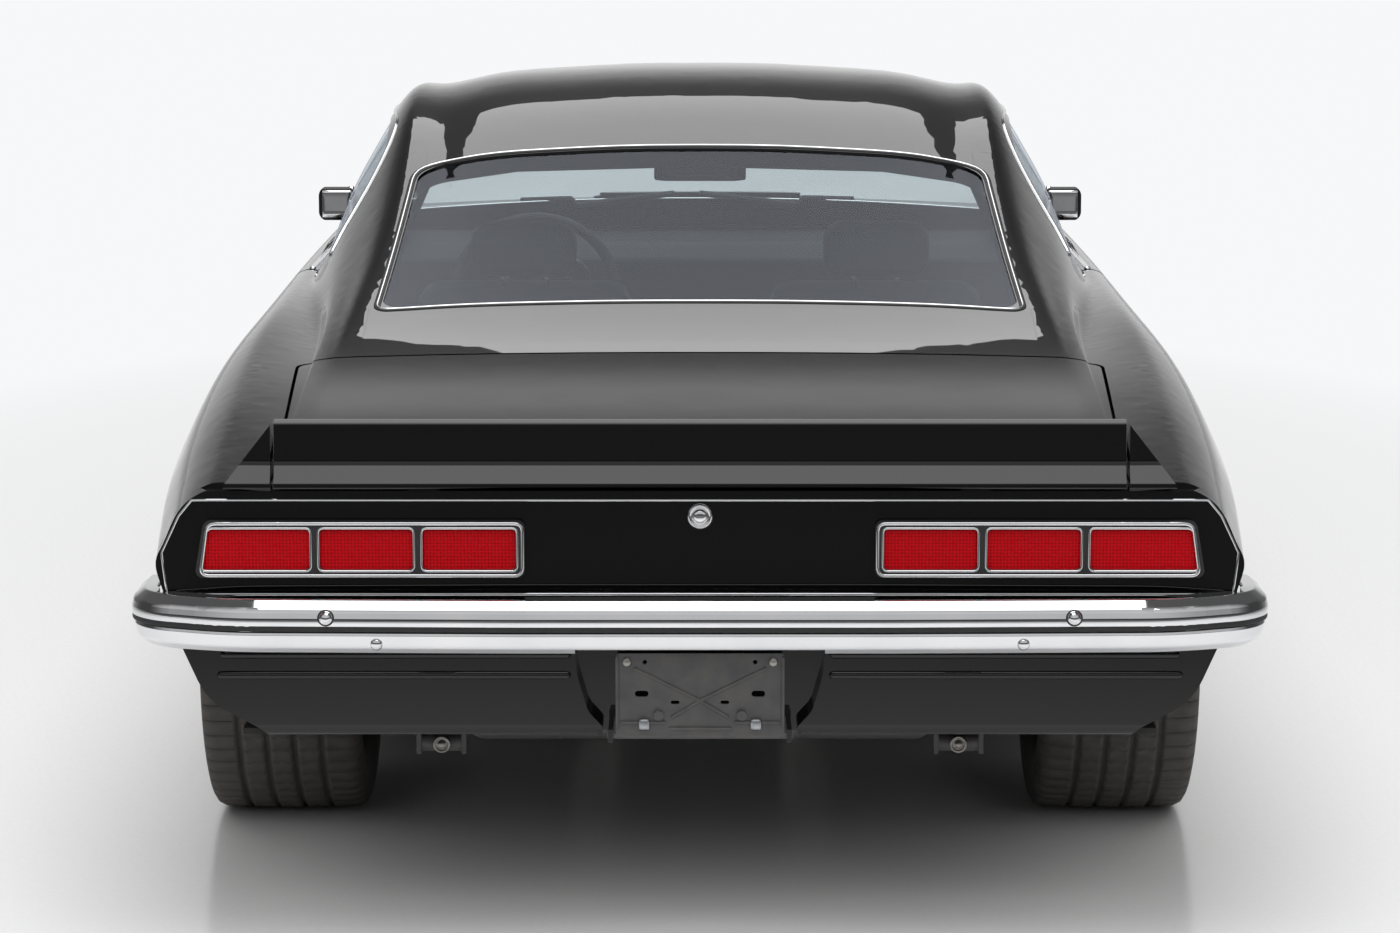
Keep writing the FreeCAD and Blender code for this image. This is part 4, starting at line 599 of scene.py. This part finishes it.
WHEELS = ("front_left", "front_right", "rear_left", "rear_right")
DRESS = {
    PAINT: "cowl_panel roof_panel quarter_left quarter_right fender_left fender_right deck_panel tail_panel "
           "rear_valance nose_panel hood trunk_lid spoiler door_left door_right",
    CHROME: "front_bumper rear_bumper",
    UNDER: "floor_pan",
    GRILLE: "grille",
    TRIM: "tail_lamps dashboard steering_wheel",
    LAMP_GLASS: "headlamps",
    RED: "tail_lenses",
    WINDOW: "windshield rear_window quarter_windows door_glass_left door_glass_right",
    IRON: "plate_bracket front_subframe engine_block rear_axle fuel_tank knuckle_left knuckle_right",
    STEEL: "exhaust",
    WHEEL: " ".join("rim_" + wheel for wheel in WHEELS),
    RUBBER: " ".join("tyre_" + wheel for wheel in WHEELS),
}


def dress_nodes():
    """Each node's material, set on the object and not on its mesh."""
    for mat, names in DRESS.items():
        for name in names.split():
            for slot in NODES[name].material_slots:
                slot.link = "OBJECT"
                slot.material = mat


# Tyres and wheel nuts

HALF_TRACK = 0.750
AXLES = {
    "front": {"y": -1.430, "radius": 0.330, "width": 0.245},
    "rear": {"y": 1.313, "radius": 0.335, "width": 0.284},
}
BEAD_RADIUS = 229.6 * MM
TREAD_SHARE = 0.86
CROWN_DROP = 3.0 * MM

# Kinds of cross cut and where across the tread they apply, as shares of its half width
PLAIN, SHOULDER, RIB = "plain", "shoulder", "rib"
CUT_PLACES = {
    PLAIN: (-0.4, 0.0, 0.4),
    SHOULDER: (-1.0, -0.9, -0.8, -0.7, 0.7, 0.8, 0.9, 1.0),
    RIB: (-0.5, -0.3, -0.1, 0.1, 0.3, 0.5),
}
CUT_DEPTH = {PLAIN: 0.0, SHOULDER: 3.4 * MM, RIB: 2.2 * MM}
GROOVES = (-0.60, -0.20, 0.20, 0.60)
GROOVE_SECTION = [(-5.5 * MM, 0.0), (-3.8 * MM, 7.0 * MM), (3.8 * MM, 7.0 * MM), (5.5 * MM, 0.0)]

# Sidewall as a share of the half width with millimetres below the tread's edge, then above the bead
UPPER_WALL = [(0.935, 5, SHOULDER), (0.975, 14, SHOULDER), (0.995, 26, PLAIN), (1.0, 42, PLAIN),
              (0.992, 56, PLAIN), (0.992, 58, PLAIN), (0.975, 60, PLAIN)]
LOWER_WALL = [(0.95, 24), (0.93, 22), (0.93, 16), (0.86, 5), (0.80, 0)]

# Round the tyre: pitches of the tread, the steps in each and which of them are cut
PITCHES = 66
PITCH_STEPS = (0.0, 0.035, 0.075, 0.11, 0.5)
CUT_STEPS = (1, 2)
CUT_SLANT = 0.012
RIB_SHIFT = 0.02

# The wheel's face lies at a share of the tyre's half width, less an inset
FACE_SHARE = 0.8
FACE_INSET = 14 * MM
CAP = [(-0.012, 0.0), (-0.012, 0.030), (0.003, 0.030), (0.007, 0.027), (0.009, 0.018), (0.010, 0.0)]
NUT = [(-0.030, 0.0), (-0.030, 0.0115), (-0.006, 0.0105), (-0.001, 0.0075), (0.0, 0.0)]
NUT_COUNT = 5
NUT_CIRCLE = 0.060


def tyre_section(radius, width):
    """Points across a tyre from bead to bead: place, radius and kind of cross cut."""
    half = width / 2
    tread = TREAD_SHARE * half
    marks = [(share * tread, 0.0, cut) for cut, shares in CUT_PLACES.items() for share in shares]
    marks += [(share * tread + offset, depth, PLAIN) for share in GROOVES for offset, depth in GROOVE_SECTION]
    crown = [(a, radius - CROWN_DROP * (a / tread) ** 2 - depth, cut) for a, depth, cut in sorted(marks)]
    edge = radius - CROWN_DROP
    wall = [(share * half, edge - down * MM, cut) for share, down, cut in UPPER_WALL]
    wall += [(share * half, BEAD_RADIUS + up * MM, PLAIN) for share, up in LOWER_WALL]
    return [(-a, r, cut) for a, r, cut in reversed(wall)] + crown + wall


def tyre(wheel, sign, axle):
    """Tyre with four grooves, cut shoulders and rounded sidewalls, in place of the plain one."""
    radius, tread = axle["radius"], TREAD_SHARE * axle["width"] / 2
    section = tyre_section(radius, axle["width"])
    columns, m = PITCHES * len(PITCH_STEPS), len(section)
    verts, faces = [], []
    for i in range(columns):
        pitch, step = divmod(i, len(PITCH_STEPS))
        for a, r, cut in section:
            skew = CUT_SLANT * sign * abs(a) / tread + (RIB_SHIFT if cut == RIB else 0.0)
            t = 2 * math.pi * (pitch + PITCH_STEPS[step]) / PITCHES + skew
            r -= CUT_DEPTH[cut] if step in CUT_STEPS else 0.0
            x = sign * HALF_TRACK + a
            verts.append(Vector((x, axle["y"] + r * math.sin(t), radius + r * math.cos(t))))
    for i in range(columns):
        j = (i + 1) % columns
        for k in range(m):
            l = (k + 1) % m
            faces.append((i * m + k, j * m + k, j * m + l, i * m + l))
    obj = solid("tyre_tread_" + wheel, [(verts, faces)], RUBBER, "wheel_" + wheel)
    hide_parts("tyre_" + wheel)


def wheel_nuts(wheel, sign, axle):
    """Centre cap and nuts on a wheel's face."""
    x = sign * (HALF_TRACK + FACE_SHARE * axle["width"] / 2 - FACE_INSET)
    outward = Vector((sign, 0, 0))
    parts = [lathe(CAP, (x, axle["y"], axle["radius"]), outward, sides=36)]
    for k in range(NUT_COUNT):
        t = 2 * math.pi * (k + 0.5) / NUT_COUNT
        y, z = axle["y"] + NUT_CIRCLE * math.sin(t), axle["radius"] + NUT_CIRCLE * math.cos(t)
        parts.append(lathe(NUT, (x, y, z), outward, sides=6))
    solid("wheel_nuts_" + wheel, parts, CHROME, "wheel_" + wheel, smooth=False)


# Window and belt mouldings, drip rails

PANELS = surface("roof_panel", "deck_panel", "quarter_left", "quarter_right", "cowl_panel")
WINDOW_MARGIN = 9 * MM
WINDOW_STEP = 0.014
WINDOW_SEAL = (0.013, 0.0024)
WINDOW_BAND = (0.00546, 0.004)
ABOVE_ROOF = 1.6

# Half width and y of each window's front and back edge, and the radii of its corners
WINDOWS = {
    "moulding_rear_window": ((0.556, 0.622), (0.590, 1.246), (0.070, 0.070, 0.026, 0.026)),
    "moulding_windshield": ((0.684, -0.790), (0.551, -0.322), (0.030, 0.030, 0.060, 0.060)),
}

DRIP_RAIL = [(-0.690, 0.938), (-0.330, 1.142), (-0.170, 1.206), (0.060, 1.216), (0.345, 1.206),
             (0.470, 1.150), (0.650, 0.955)]
DRIP_RADII = [0.0, 0.160, 0.160, 0.300, 0.120, 0.160, 0.0]
DRIP_STEP = 0.016
DRIP_SIZE = (0.006, 0.004)

BELT_ENDS = (-0.640, 0.355)
BELT_X = 0.800
ABOVE_BELT = 1.05
BELT_STEP = 0.018
BELT_SIZE = (0.012, 0.004)


def window_moulding(name, front, back, radii):
    """Bright band on a dark seal round a window, laid on the panels that carry the glass."""
    (front_x, front_y), (back_x, back_y) = front, back
    front_x, front_y = front_x + WINDOW_MARGIN, front_y - WINDOW_MARGIN
    back_x, back_y = back_x + WINDOW_MARGIN, back_y + WINDOW_MARGIN
    corners = [(-front_x, front_y), (front_x, front_y), (back_x, back_y), (-back_x, back_y)]
    outline = dense(rounded([(x, y, ABOVE_ROOF) for x, y in corners], radii), WINDOW_STEP, closed=True)
    path = evened(cast(PANELS, outline, DOWN), closed=True)
    strip(name + "_seal", path, WINDOW_SEAL, TRIM, closed=True)
    strip(name, path, WINDOW_BAND, CHROME, closed=True)


def drip_rails():
    """Bright rails over the side windows, cast on the left side and mirrored."""
    outline = rounded([(BESIDE_CAR, y, z) for y, z in DRIP_RAIL], DRIP_RADII, closed=False)
    rail = evened(cast(surface("roof_panel", "quarter_left"), dense(outline, DRIP_STEP), (-1, 0, 0)))
    strip("drip_rail_left", rail, DRIP_SIZE, CHROME)
    strip("drip_rail_right", mirrored(rail), DRIP_SIZE, CHROME)


def belt_mouldings():
    """Bright strips along the doors' upper edge, cast on the left door and mirrored."""
    line = dense([(BELT_X, y, ABOVE_BELT) for y in BELT_ENDS], BELT_STEP)
    belt = evened(cast(surface("door_left"), line, DOWN))
    for side, path in (("left", belt), ("right", mirrored(belt))):
        strip("belt_moulding_" + side, path, BELT_SIZE, CHROME, "door_" + side)


# Tail

TAIL_Y = 2.264
TAIL_EDGE_Y = 2.258
TAIL_HEIGHTS = (0.572, 0.640, 0.700, 0.726)
TAIL_INSET = 6 * MM
TAIL_STEP = 0.024
TAIL_LINE_SIZE = (0.0045, 0.0022)

LAMP_FACE = 2.282
LAMP_INNER_X = 0.282
LAMP_Z = (0.602, 0.694)
LAMP_EDGE_Y = 2.275
LAMP_INSET = 3.5 * MM
LAMP_RADIUS = 14 * MM
LAMP_RING_SIZE = (0.006, 0.003)
LENS_X = ((0.296, 0.446), (0.462, 0.612), (0.628, 0.798))
LENS_Z = (0.615, 0.681)
LENS_EDGE_Y = 2.270
LENS_RIM = 2 * MM
LENS_RADIUS = 9 * MM
LENS_SUNK = 1 * MM
LENS_RIM_SIZE = (0.0045, 0.003)
EDGE_STEP = 3 * MM

LOCK_Z = 0.700
TRUNK_LOCK = [(-0.004, 0.021), (0.004, 0.021), (0.008, 0.0185), (0.008, 0.016), (0.005, 0.014),
              (0.005, 0.0125), (0.009, 0.011), (0.011, 0.006), (0.011, 0.0)]


def outer_x(node, y, z):
    """Outermost x of a node at a place, on the left side."""
    (place, _), = cast(surface(node), [(BESIDE_CAR, y, z)], (-1, 0, 0))
    return place.x


def tail_moulding():
    """Thin bright line round the tail panel."""
    edge = [(outer_x("tail_panel", TAIL_EDGE_Y, z) - TAIL_INSET, z) for z in TAIL_HEIGHTS]
    ring = edge + [(-x, z) for x, z in reversed(edge)]
    outline = dense([(x, BEHIND_CAR, z) for x, z in ring], TAIL_STEP, closed=True)
    path = [(place, BACKWARD) for place, _ in cast(surface("tail_panel"), outline, FORWARD)]
    strip("moulding_tail_panel", path, TAIL_LINE_SIZE, CHROME, closed=True)


def flat_ring(name, inner_x, outer, heights, radius, y, size, sign):
    """Bright ring that faces backwards; outer holds its outermost x at its foot and at its top."""
    low, high = heights
    corners = [(inner_x, low), (outer[0], low), (outer[1], high), (inner_x, high)]
    outline = rounded([(sign * x, y, z) for x, z in corners], [radius] * len(corners))
    strip(name, [(place, BACKWARD) for place in outline], size, CHROME, closed=True)


def outer_pair(node, y, heights):
    """Outermost x of a node just above its foot and just below its top."""
    low, high = heights
    return outer_x(node, y, low + EDGE_STEP), outer_x(node, y, high - EDGE_STEP)


def lamp_rings():
    """Outline of each tail lamp and a rim round each of its lenses."""
    lamp_outer = [x - LAMP_INSET for x in outer_pair("tail_lamps", LAMP_EDGE_Y, LAMP_Z)]
    lens_outer = outer_pair("tail_lenses", LENS_EDGE_Y, LENS_Z)
    lamp_z = (LAMP_Z[0] + LAMP_INSET, LAMP_Z[1] - LAMP_INSET)
    lens_z = (LENS_Z[0] - LENS_RIM, LENS_Z[1] + LENS_RIM)
    for side, sign in LEFT_AND_RIGHT:
        flat_ring("lamp_moulding_" + side, LAMP_INNER_X + LAMP_INSET, lamp_outer, lamp_z, LAMP_RADIUS,
                  LAMP_FACE, LAMP_RING_SIZE, sign)
        for i, (inner, outer) in enumerate(LENS_X):
            ends = lens_outer if i == len(LENS_X) - 1 else (outer, outer)
            flat_ring("lens_rim_%s_%d" % (side, i), inner - LENS_RIM, [x + LENS_RIM for x in ends], lens_z,
                      LENS_RADIUS, LAMP_FACE - LENS_SUNK, LENS_RIM_SIZE, sign)


def trunk_lock():
    """Round lock in the middle of the tail panel."""
    solid("trunk_lock", [lathe(TRUNK_LOCK, (0, TAIL_Y, LOCK_Z), BACKWARD, sides=40)], CHROME)


# Rear bumper

BUMPER = surface("rear_bumper")
BOLTS = [(x, BEHIND_CAR, 0.550) for x in (-0.597, 0.597)]
BOLT_DARK_RING = [(-0.006, 0.0135), (0.0010, 0.0135), (0.0016, 0.0125), (0.0016, 0.0)]
BOLT_DOME = [(-0.004, 0.0112), (0.0012, 0.0112), (0.0022, 0.0108), (0.0024, 0.0102), (0.003, 0.0096),
             (0.0062, 0.0074), (0.0080, 0.0040), (0.0086, 0.0)]
STUDS = [(x, BEHIND_CAR, 0.506) for x in (-0.517, 0.517)]
STUD = [(-0.004, 0.010), (0.001, 0.010), (0.004, 0.008), (0.006, 0.004), (0.0065, 0.0)]

# Dark strip of painted shade along the bumper's groove: its height, the fan of rays that finds it, and its
# size
GROOVE_Z = 0.5325
GROOVE_CENTRE_Y = 1.2
GROOVE_REACH = 2.0
GROOVE_ANGLE = 45
GROOVE_STEPS = 180
GROOVE_SHADE_SIZE = (0.0105, 0.0006)


def bumper_bolts():
    """Domed bolts, each on a dark ring that outlines it, and smaller studs below them."""
    bolts = cast(BUMPER, BOLTS, FORWARD)
    studs = cast(BUMPER, STUDS, FORWARD)
    solid("bumper_bolts", lathes(BOLT_DOME, bolts, sides=28) + lathes(STUD, studs, sides=24), CHROME)
    solid("bumper_bolt_dark_rings", lathes(BOLT_DARK_RING, bolts, sides=28), TRIM)


def bumper_groove_painted_shade():
    """Dark strip of painted shade laid in the bumper's groove, where the real groove has no strip and only
    looks dark; its path is found by rays from a fan round the tail.
    """
    path = []
    for k in range(GROOVE_STEPS + 1):
        angle = math.radians(GROOVE_ANGLE * (2 * k / GROOVE_STEPS - 1))
        outward = Vector((math.sin(angle), math.cos(angle), 0))
        start = Vector((0, GROOVE_CENTRE_Y, GROOVE_Z)) + outward * GROOVE_REACH
        for place, normal in cast(BUMPER, [start], -outward):
            path.append((place, Vector((normal.x, normal.y, 0)).normalized()))
    strip("bumper_groove_painted_shade", evened(path), GROOVE_SHADE_SIZE, TRIM)


# Plate holder and shackles

HOLDER = surface("plate_bracket")
CLIPS = [(x, BEHIND_CAR, 0.367) for x in (-0.090, 0.090)]
CLIP_HALF = (0.0085, 0.004, 0.0085)
CLIP_RADIUS = 0.002
CLIP_PROUD = Vector((0, 0.002, 0))
SCREWS = [(x, BEHIND_CAR, 0.468) for x in (-0.118, 0.118)]
SCREW = [(-0.003, 0.0075), (0.001, 0.0075), (0.003, 0.006), (0.0035, 0.0)]
SHACKLES = [(x, 1.990, 0.263) for x in (-0.437, 0.437)]
SHACKLE_BOLT = [(-0.02, 0.015), (0.004, 0.015), (0.006, 0.0135), (0.006, 0.011), (0.003, 0.010),
                (0.003, 0.0075), (0.008, 0.006), (0.009, 0.0)]


def holder_fasteners():
    """Square clips and round screws of the plate holder."""
    places = [place + CLIP_PROUD for place, _ in cast(HOLDER, CLIPS, FORWARD)]
    clips = [block(CLIP_HALF, CLIP_RADIUS, place, cuts=4) for place in places]
    solid("bracket_clips", clips, WHEEL, "plate_bracket")
    screws = lathes(SCREW, cast(HOLDER, SCREWS, FORWARD), sides=20, axis=BACKWARD)
    solid("bracket_screws", screws, STEEL, "plate_bracket")


def shackle_bolts():
    """Bolt heads on the leaf springs' rear shackles."""
    solid("shackle_bolts", [lathe(SHACKLE_BOLT, place, BACKWARD, sides=28) for place in SHACKLES], STEEL)


# Mirrors

MIRROR_AT = (0.832, 0.946)
MIRROR_RAY_Y = 0.2
MIRROR_PROUD = Vector((0, 0.0012, 0))
MIRROR_GLASS_HALF = (0.034, 0.0018, 0.031)
MIRROR_GLASS_RADIUS = 0.0017

INSIDE_MIRROR_TILT = tilt(-6)
INSIDE_MIRROR_AT = (0, -0.400, 1.046)
INSIDE_MIRROR_HALF = (0.103, 0.009, 0.031)
INSIDE_MIRROR_RADIUS = 0.008
INSIDE_GLASS_AT = (0, -0.3895, 1.047)
INSIDE_GLASS_HALF = (0.096, 0.0015, 0.026)
INSIDE_GLASS_RADIUS = 0.0014
STEM = [(0.0, 0.0), (0.0, 0.006), (0.125, 0.006), (0.125, 0.0)]
STEM_FOOT = (0, -0.408, 1.065)
STEM_AXIS = (0, 0.045, 0.116)


def door_mirror_glass(side, sign):
    """Thin glass on the back of a door mirror."""
    origin = (sign * MIRROR_AT[0], MIRROR_RAY_Y, MIRROR_AT[1])
    for place, _ in cast(surface("door_" + side), [origin], FORWARD):
        glass = block(MIRROR_GLASS_HALF, MIRROR_GLASS_RADIUS, place + MIRROR_PROUD, cuts=8)
        solid("mirror_glass_" + side, [glass], CHROME, "door_" + side)


def inside_mirror():
    """Mirror under the windshield's top, on a stem."""
    shell = block(INSIDE_MIRROR_HALF, INSIDE_MIRROR_RADIUS, INSIDE_MIRROR_AT, INSIDE_MIRROR_TILT, cuts=8)
    solid("inside_mirror", [shell, lathe(STEM, STEM_FOOT, STEM_AXIS, sides=12)], TRIM)
    glass = block(INSIDE_GLASS_HALF, INSIDE_GLASS_RADIUS, INSIDE_GLASS_AT, INSIDE_MIRROR_TILT)
    solid("inside_mirror_glass", [glass], CHROME)


# Seats

ALONG_CAR, UPWARD = 1, 2
FRONT_CUTS = 44
REAR_CUTS = 64
RESTRAINT_CUTS = 24

# Places of seams and channels on a face run from -1 to 1
FRONT_CHANNELS = [0.285 * k for k in range(-2, 3)]
REAR_CHANNELS = [0.16 * k for k in range(-5, 6)]
SEAM_DEPTH = 0.006
CHANNEL_WIDTH = 0.028
SEAM_WIDTH = 0.03
SIDE_SEAM = 0.86
SEAM_END = 0.95
BORDER_END = 0.9
FACE_START = 0.2
SIDE_SWELL = 0.175

SEAT_X = 0.365
STALK = [(0.0, 0.0), (0.0, 0.006), (0.11, 0.006), (0.11, 0.0)]
STALK_AXIS = (0, 0.17, 0.98)
STALK_OFFSETS = (-0.045, 0.045)
STALK_FOOT_Y = 0.283
STALK_FOOT_Z = 0.800
FRAME_RADIUS = 0.012
FRONT_FRAME_HALF = (0.20, 0.21, 0.035)
FRONT_FRAME_Y = -0.09
REAR_FRAME_HALF = (0.53, 0.17, 0.045)
REAR_FRAME_Y = 0.745
FRAME_Z = 0.300


def dips(value, places, width):
    """Depth of stitched seams at a value, negative at and near each place."""
    return -SEAM_DEPTH * sum(math.exp(-((value - place) / width) ** 2) for place in places)


def cushion(name, half, radius, centre, lean, face, crown, channels, border, cuts=FRONT_CUTS, replaced=None):
    """Padded block whose face is crowned, with sewn channels and border seams pressed in."""
    def shape(point, unit):
        along, across, other = unit[face], unit.x, unit[3 - face]
        if along > FACE_START or face == ALONG_CAR and along < -FACE_START:
            lift = crown * (1 - across ** 2) * (1 - other ** 2)
            if abs(other) < border:
                lift += dips(across, channels, CHANNEL_WIDTH)
            if abs(other) < SEAM_END:
                lift += dips(abs(across), (SIDE_SEAM,), SEAM_WIDTH)
            if abs(across) < BORDER_END:
                lift += dips(abs(other), (border,), SEAM_WIDTH)
            point = point.copy()
            point[face] += lift if along > 0 else -lift
        point.x += SIDE_SWELL * crown * across * (1 - other ** 2)
        return point

    obj = solid(name, [block(half, radius, centre, tilt(lean), cuts, shape)], VINYL)
    if replaced:
        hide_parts(replaced)


def front_seat(side, sign):
    """Cushion, back and head restraint of a front seat, with the restraint's stalks."""
    x = sign * SEAT_X
    cushion("front_cushion_" + side, half=(0.225, 0.235, 0.070), radius=0.050, centre=(x, -0.090, 0.400),
            lean=-5, face=UPWARD, crown=0.022, channels=FRONT_CHANNELS, border=0.72,
            replaced="front_seats" if sign > 0 else None)
    cushion("front_back_" + side, half=(0.222, 0.060, 0.225), radius=0.048, centre=(x, 0.222, 0.640),
            lean=-15, face=ALONG_CAR, crown=0.020, channels=FRONT_CHANNELS, border=0.72)
    cushion("head_restraint_" + side, half=(0.108, 0.044, 0.056), radius=0.036, centre=(x, 0.306, 0.934),
            lean=-12, face=ALONG_CAR, crown=0.010, channels=[], border=0.8, cuts=RESTRAINT_CUTS)
    feet = [(x + offset, STALK_FOOT_Y, STALK_FOOT_Z) for offset in STALK_OFFSETS]
    solid("restraint_stalks_" + side, [lathe(STALK, foot, STALK_AXIS, sides=12) for foot in feet], CHROME)


def rear_seat():
    """Cushion and back of the rear seat."""
    cushion("rear_cushion", half=(0.572, 0.205, 0.080), radius=0.055, centre=(0, 0.735, 0.405), lean=3,
            face=UPWARD, crown=0.020, channels=REAR_CHANNELS, border=0.74, cuts=REAR_CUTS,
            replaced="rear_seat")
    cushion("rear_back", half=(0.570, 0.055, 0.185), radius=0.045, centre=(0, 0.975, 0.665), lean=-20,
            face=ALONG_CAR, crown=0.018, channels=REAR_CHANNELS, border=0.74, cuts=REAR_CUTS)


def seat_frames():
    """Dark boxes that carry the cushions."""
    places = [(x, FRONT_FRAME_Y, FRAME_Z) for x in (-SEAT_X, SEAT_X)]
    frames = [block(FRONT_FRAME_HALF, FRAME_RADIUS, place, cuts=4) for place in places]
    frames.append(block(REAR_FRAME_HALF, FRAME_RADIUS, (0, REAR_FRAME_Y, FRAME_Z), cuts=4))
    solid("seat_frames", frames, TRIM)


# Door handles and locks

HANDLE_START = 0.185
HANDLE_STEP = 0.01
HANDLE_STEPS = 14
HANDLE_Z = 0.795
HANDLE_BOW = 0.016
HANDLE_SIZE = (0.020, 0.005)
BUTTON_Y = 0.338
BUTTON = [(-0.003, 0.0115), (0.004, 0.0115), (0.006, 0.010), (0.006, 0.008), (0.010, 0.0075), (0.0105, 0.0)]
DOOR_LOCK_Z = 0.755
DOOR_LOCK = [(-0.003, 0.0125), (0.002, 0.0125), (0.004, 0.011), (0.004, 0.0085), (0.003, 0.008), (0.003, 0.0)]


def cast_door(side, sign, places):
    """Hits on a door of level rays from beside the car."""
    return cast(surface("door_" + side), [(sign * BESIDE_CAR, y, z) for y, z in places], (-sign, 0, 0))


def door_handle(side, sign):
    """Bowed pull handle with a push button behind it."""
    steps = range(HANDLE_STEPS + 1)
    hits = cast_door(side, sign, [(HANDLE_START + HANDLE_STEP * k, HANDLE_Z) for k in steps])
    path = []
    for k, (place, normal) in zip(steps, hits):
        bow = HANDLE_BOW * math.sin(math.pi * k / HANDLE_STEPS) ** 0.5
        path.append((place + normal * bow, normal))
    strip("door_handle_" + side, evened(path), HANDLE_SIZE, CHROME, "door_" + side, sink=0.6)
    button = lathes(BUTTON, cast_door(side, sign, [(BUTTON_Y, HANDLE_Z)]), sides=24)
    solid("door_button_" + side, button, CHROME, "door_" + side)


def door_lock(side, sign):
    """Round key lock below the door's button."""
    lock = lathes(DOOR_LOCK, cast_door(side, sign, [(BUTTON_Y, DOOR_LOCK_Z)]), sides=24)
    solid("door_lock_" + side, lock, CHROME, "door_" + side)


# Dash and nose

GAUGES = [(x, -0.30, 0.775) for x in (0.30, 0.44)]
GAUGE_RING = [(-0.004, 0.052), (0.004, 0.052), (0.007, 0.049), (0.004, 0.046), (-0.001, 0.0455)]
GAUGE_HUB = [(0.002, 0.0), (0.004, 0.005), (0.002, 0.008)]

HEADLAMP_X = (-0.612, 0.612)
HEADLAMP_Z = 0.612
HEADLAMP_RING = [(0.004, 0.089), (-0.003, 0.0885), (-0.003, 0.084), (0.002, 0.081), (0.010, 0.080)]
HEADLAMP_BOWL = [(0.006, 0.079), (0.014, 0.072), (0.024, 0.052), (0.032, 0.026), (0.034, 0.014),
                 (0.020, 0.013), (0.018, 0.0)]

PARKING_LAMPS = [(x, AHEAD_OF_CAR, 0.372) for x in (-0.56, 0.56)]
PARKING_LENS = [(0.003, 0.034), (-0.004, 0.034), (-0.008, 0.029), (-0.011, 0.016), (-0.012, 0.0)]
PARKING_RING = [(0.004, 0.041), (-0.003, 0.041), (-0.006, 0.038), (-0.004, 0.035), (-0.002, 0.034),
                (-0.001, 0.018), (-0.005, 0.008), (-0.005, 0.0)]


def gauge_rings():
    """Ring and hub of each gauge on the dashboard."""
    parts = []
    for hit in cast(surface("dashboard"), GAUGES, FORWARD):
        parts += lathes(GAUGE_RING, [hit], sides=40) + lathes(GAUGE_HUB, [hit], sides=16)
    solid("gauge_rings", parts, CHROME)


def headlamps():
    """Bright ring and reflector bowl of each headlamp."""
    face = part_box("headlamps")[0].y
    places = [(x, face, HEADLAMP_Z) for x in HEADLAMP_X]
    solid("headlamp_rings", [lathe(HEADLAMP_RING, place, BACKWARD, sides=48) for place in places], CHROME)
    solid("headlamp_bowls", [lathe(HEADLAMP_BOWL, place, BACKWARD, sides=48) for place in places], CHROME)


def parking_lamps():
    """Round lens and ring of each parking lamp below the front bumper."""
    hits = cast(surface("nose_panel"), PARKING_LAMPS, BACKWARD)
    solid("parking_lamps", lathes(PARKING_LENS, hits, sides=32, axis=BACKWARD), LAMP_GLASS)
    solid("parking_lamp_rings", lathes(PARKING_RING, hits, sides=36, axis=BACKWARD), CHROME)


# Side markers and wipers

# Panel, y and z of its marker, and the lens's material
MARKERS = [("quarter", 1.905, 0.585, RED), ("fender", -1.960, 0.560, LAMP_GLASS)]
BEZEL_HALF = (0.005, 0.062, 0.021)
BEZEL_RADIUS = 0.0045
MARKER_HALF = (0.004, 0.055, 0.015)
MARKER_RADIUS = 0.0035
MARKER_PROUD = 0.004

WIPER_STARTS = {"left": 0.42, "right": -0.36}
WIPER_REACH = 0.36
WIPER_FOOT_Y = -0.815
WIPER_RISE_Y = 0.075
WIPER_STEPS = 24
WIPER_PROUD = 0.006
WIPER_SIZE = (0.009, 0.006)
WIPER_SINK = 1.2
ABOVE_COWL = 1.5


def side_markers(side, sign):
    """Small lamp with a bright bezel on the quarter and on the fender."""
    for panel, y, z, glass in MARKERS:
        node = panel + "_" + side
        for place, normal in cast(surface(node), [(sign * BESIDE_CAR, y, z)], (-sign, 0, 0)):
            turn = Vector((sign, 0, 0)).rotation_difference(normal).to_matrix()
            lens_place = place + normal * MARKER_PROUD
            solid("marker_bezel_" + node, [block(BEZEL_HALF, BEZEL_RADIUS, place, turn)], CHROME)
            solid("marker_lens_" + node, [block(MARKER_HALF, MARKER_RADIUS, lens_place, turn)], glass)


def wiper(side, sign):
    """Wiper arm from its outer foot inwards along the foot of the windshield."""
    line = []
    for i in range(WIPER_STEPS + 1):
        t = i / WIPER_STEPS
        x = WIPER_STARTS[side] - sign * WIPER_REACH * t
        line.append((x, WIPER_FOOT_Y + WIPER_RISE_Y * t, ABOVE_COWL))
    hits = cast(surface("cowl_panel", "windshield"), line, DOWN)
    path = [(place + normal * WIPER_PROUD, normal) for place, normal in hits]
    strip("wiper_" + side, evened(path), WIPER_SIZE, TRIM, sink=WIPER_SINK)


# The scene

add_camera()
build_world()
add_lamps()
add_floor()
dress_nodes()

for axle_name, axle in AXLES.items():
    for side, sign in LEFT_AND_RIGHT:
        tyre(axle_name + "_" + side, sign, axle)
        wheel_nuts(axle_name + "_" + side, sign, axle)

for name, (front, back, radii) in WINDOWS.items():
    window_moulding(name, front, back, radii)
drip_rails()
belt_mouldings()
tail_moulding()
lamp_rings()
trunk_lock()
bumper_bolts()
bumper_groove_painted_shade()
holder_fasteners()
shackle_bolts()
for side, sign in LEFT_AND_RIGHT:
    door_mirror_glass(side, sign)
inside_mirror()
for side, sign in LEFT_AND_RIGHT:
    front_seat(side, sign)
rear_seat()
seat_frames()
for side, sign in LEFT_AND_RIGHT:
    door_handle(side, sign)
gauge_rings()
headlamps()
parking_lamps()
for side, sign in LEFT_AND_RIGHT:
    side_markers(side, sign)
    door_lock(side, sign)
for side, sign in LEFT_AND_RIGHT:
    wiper(side, sign)
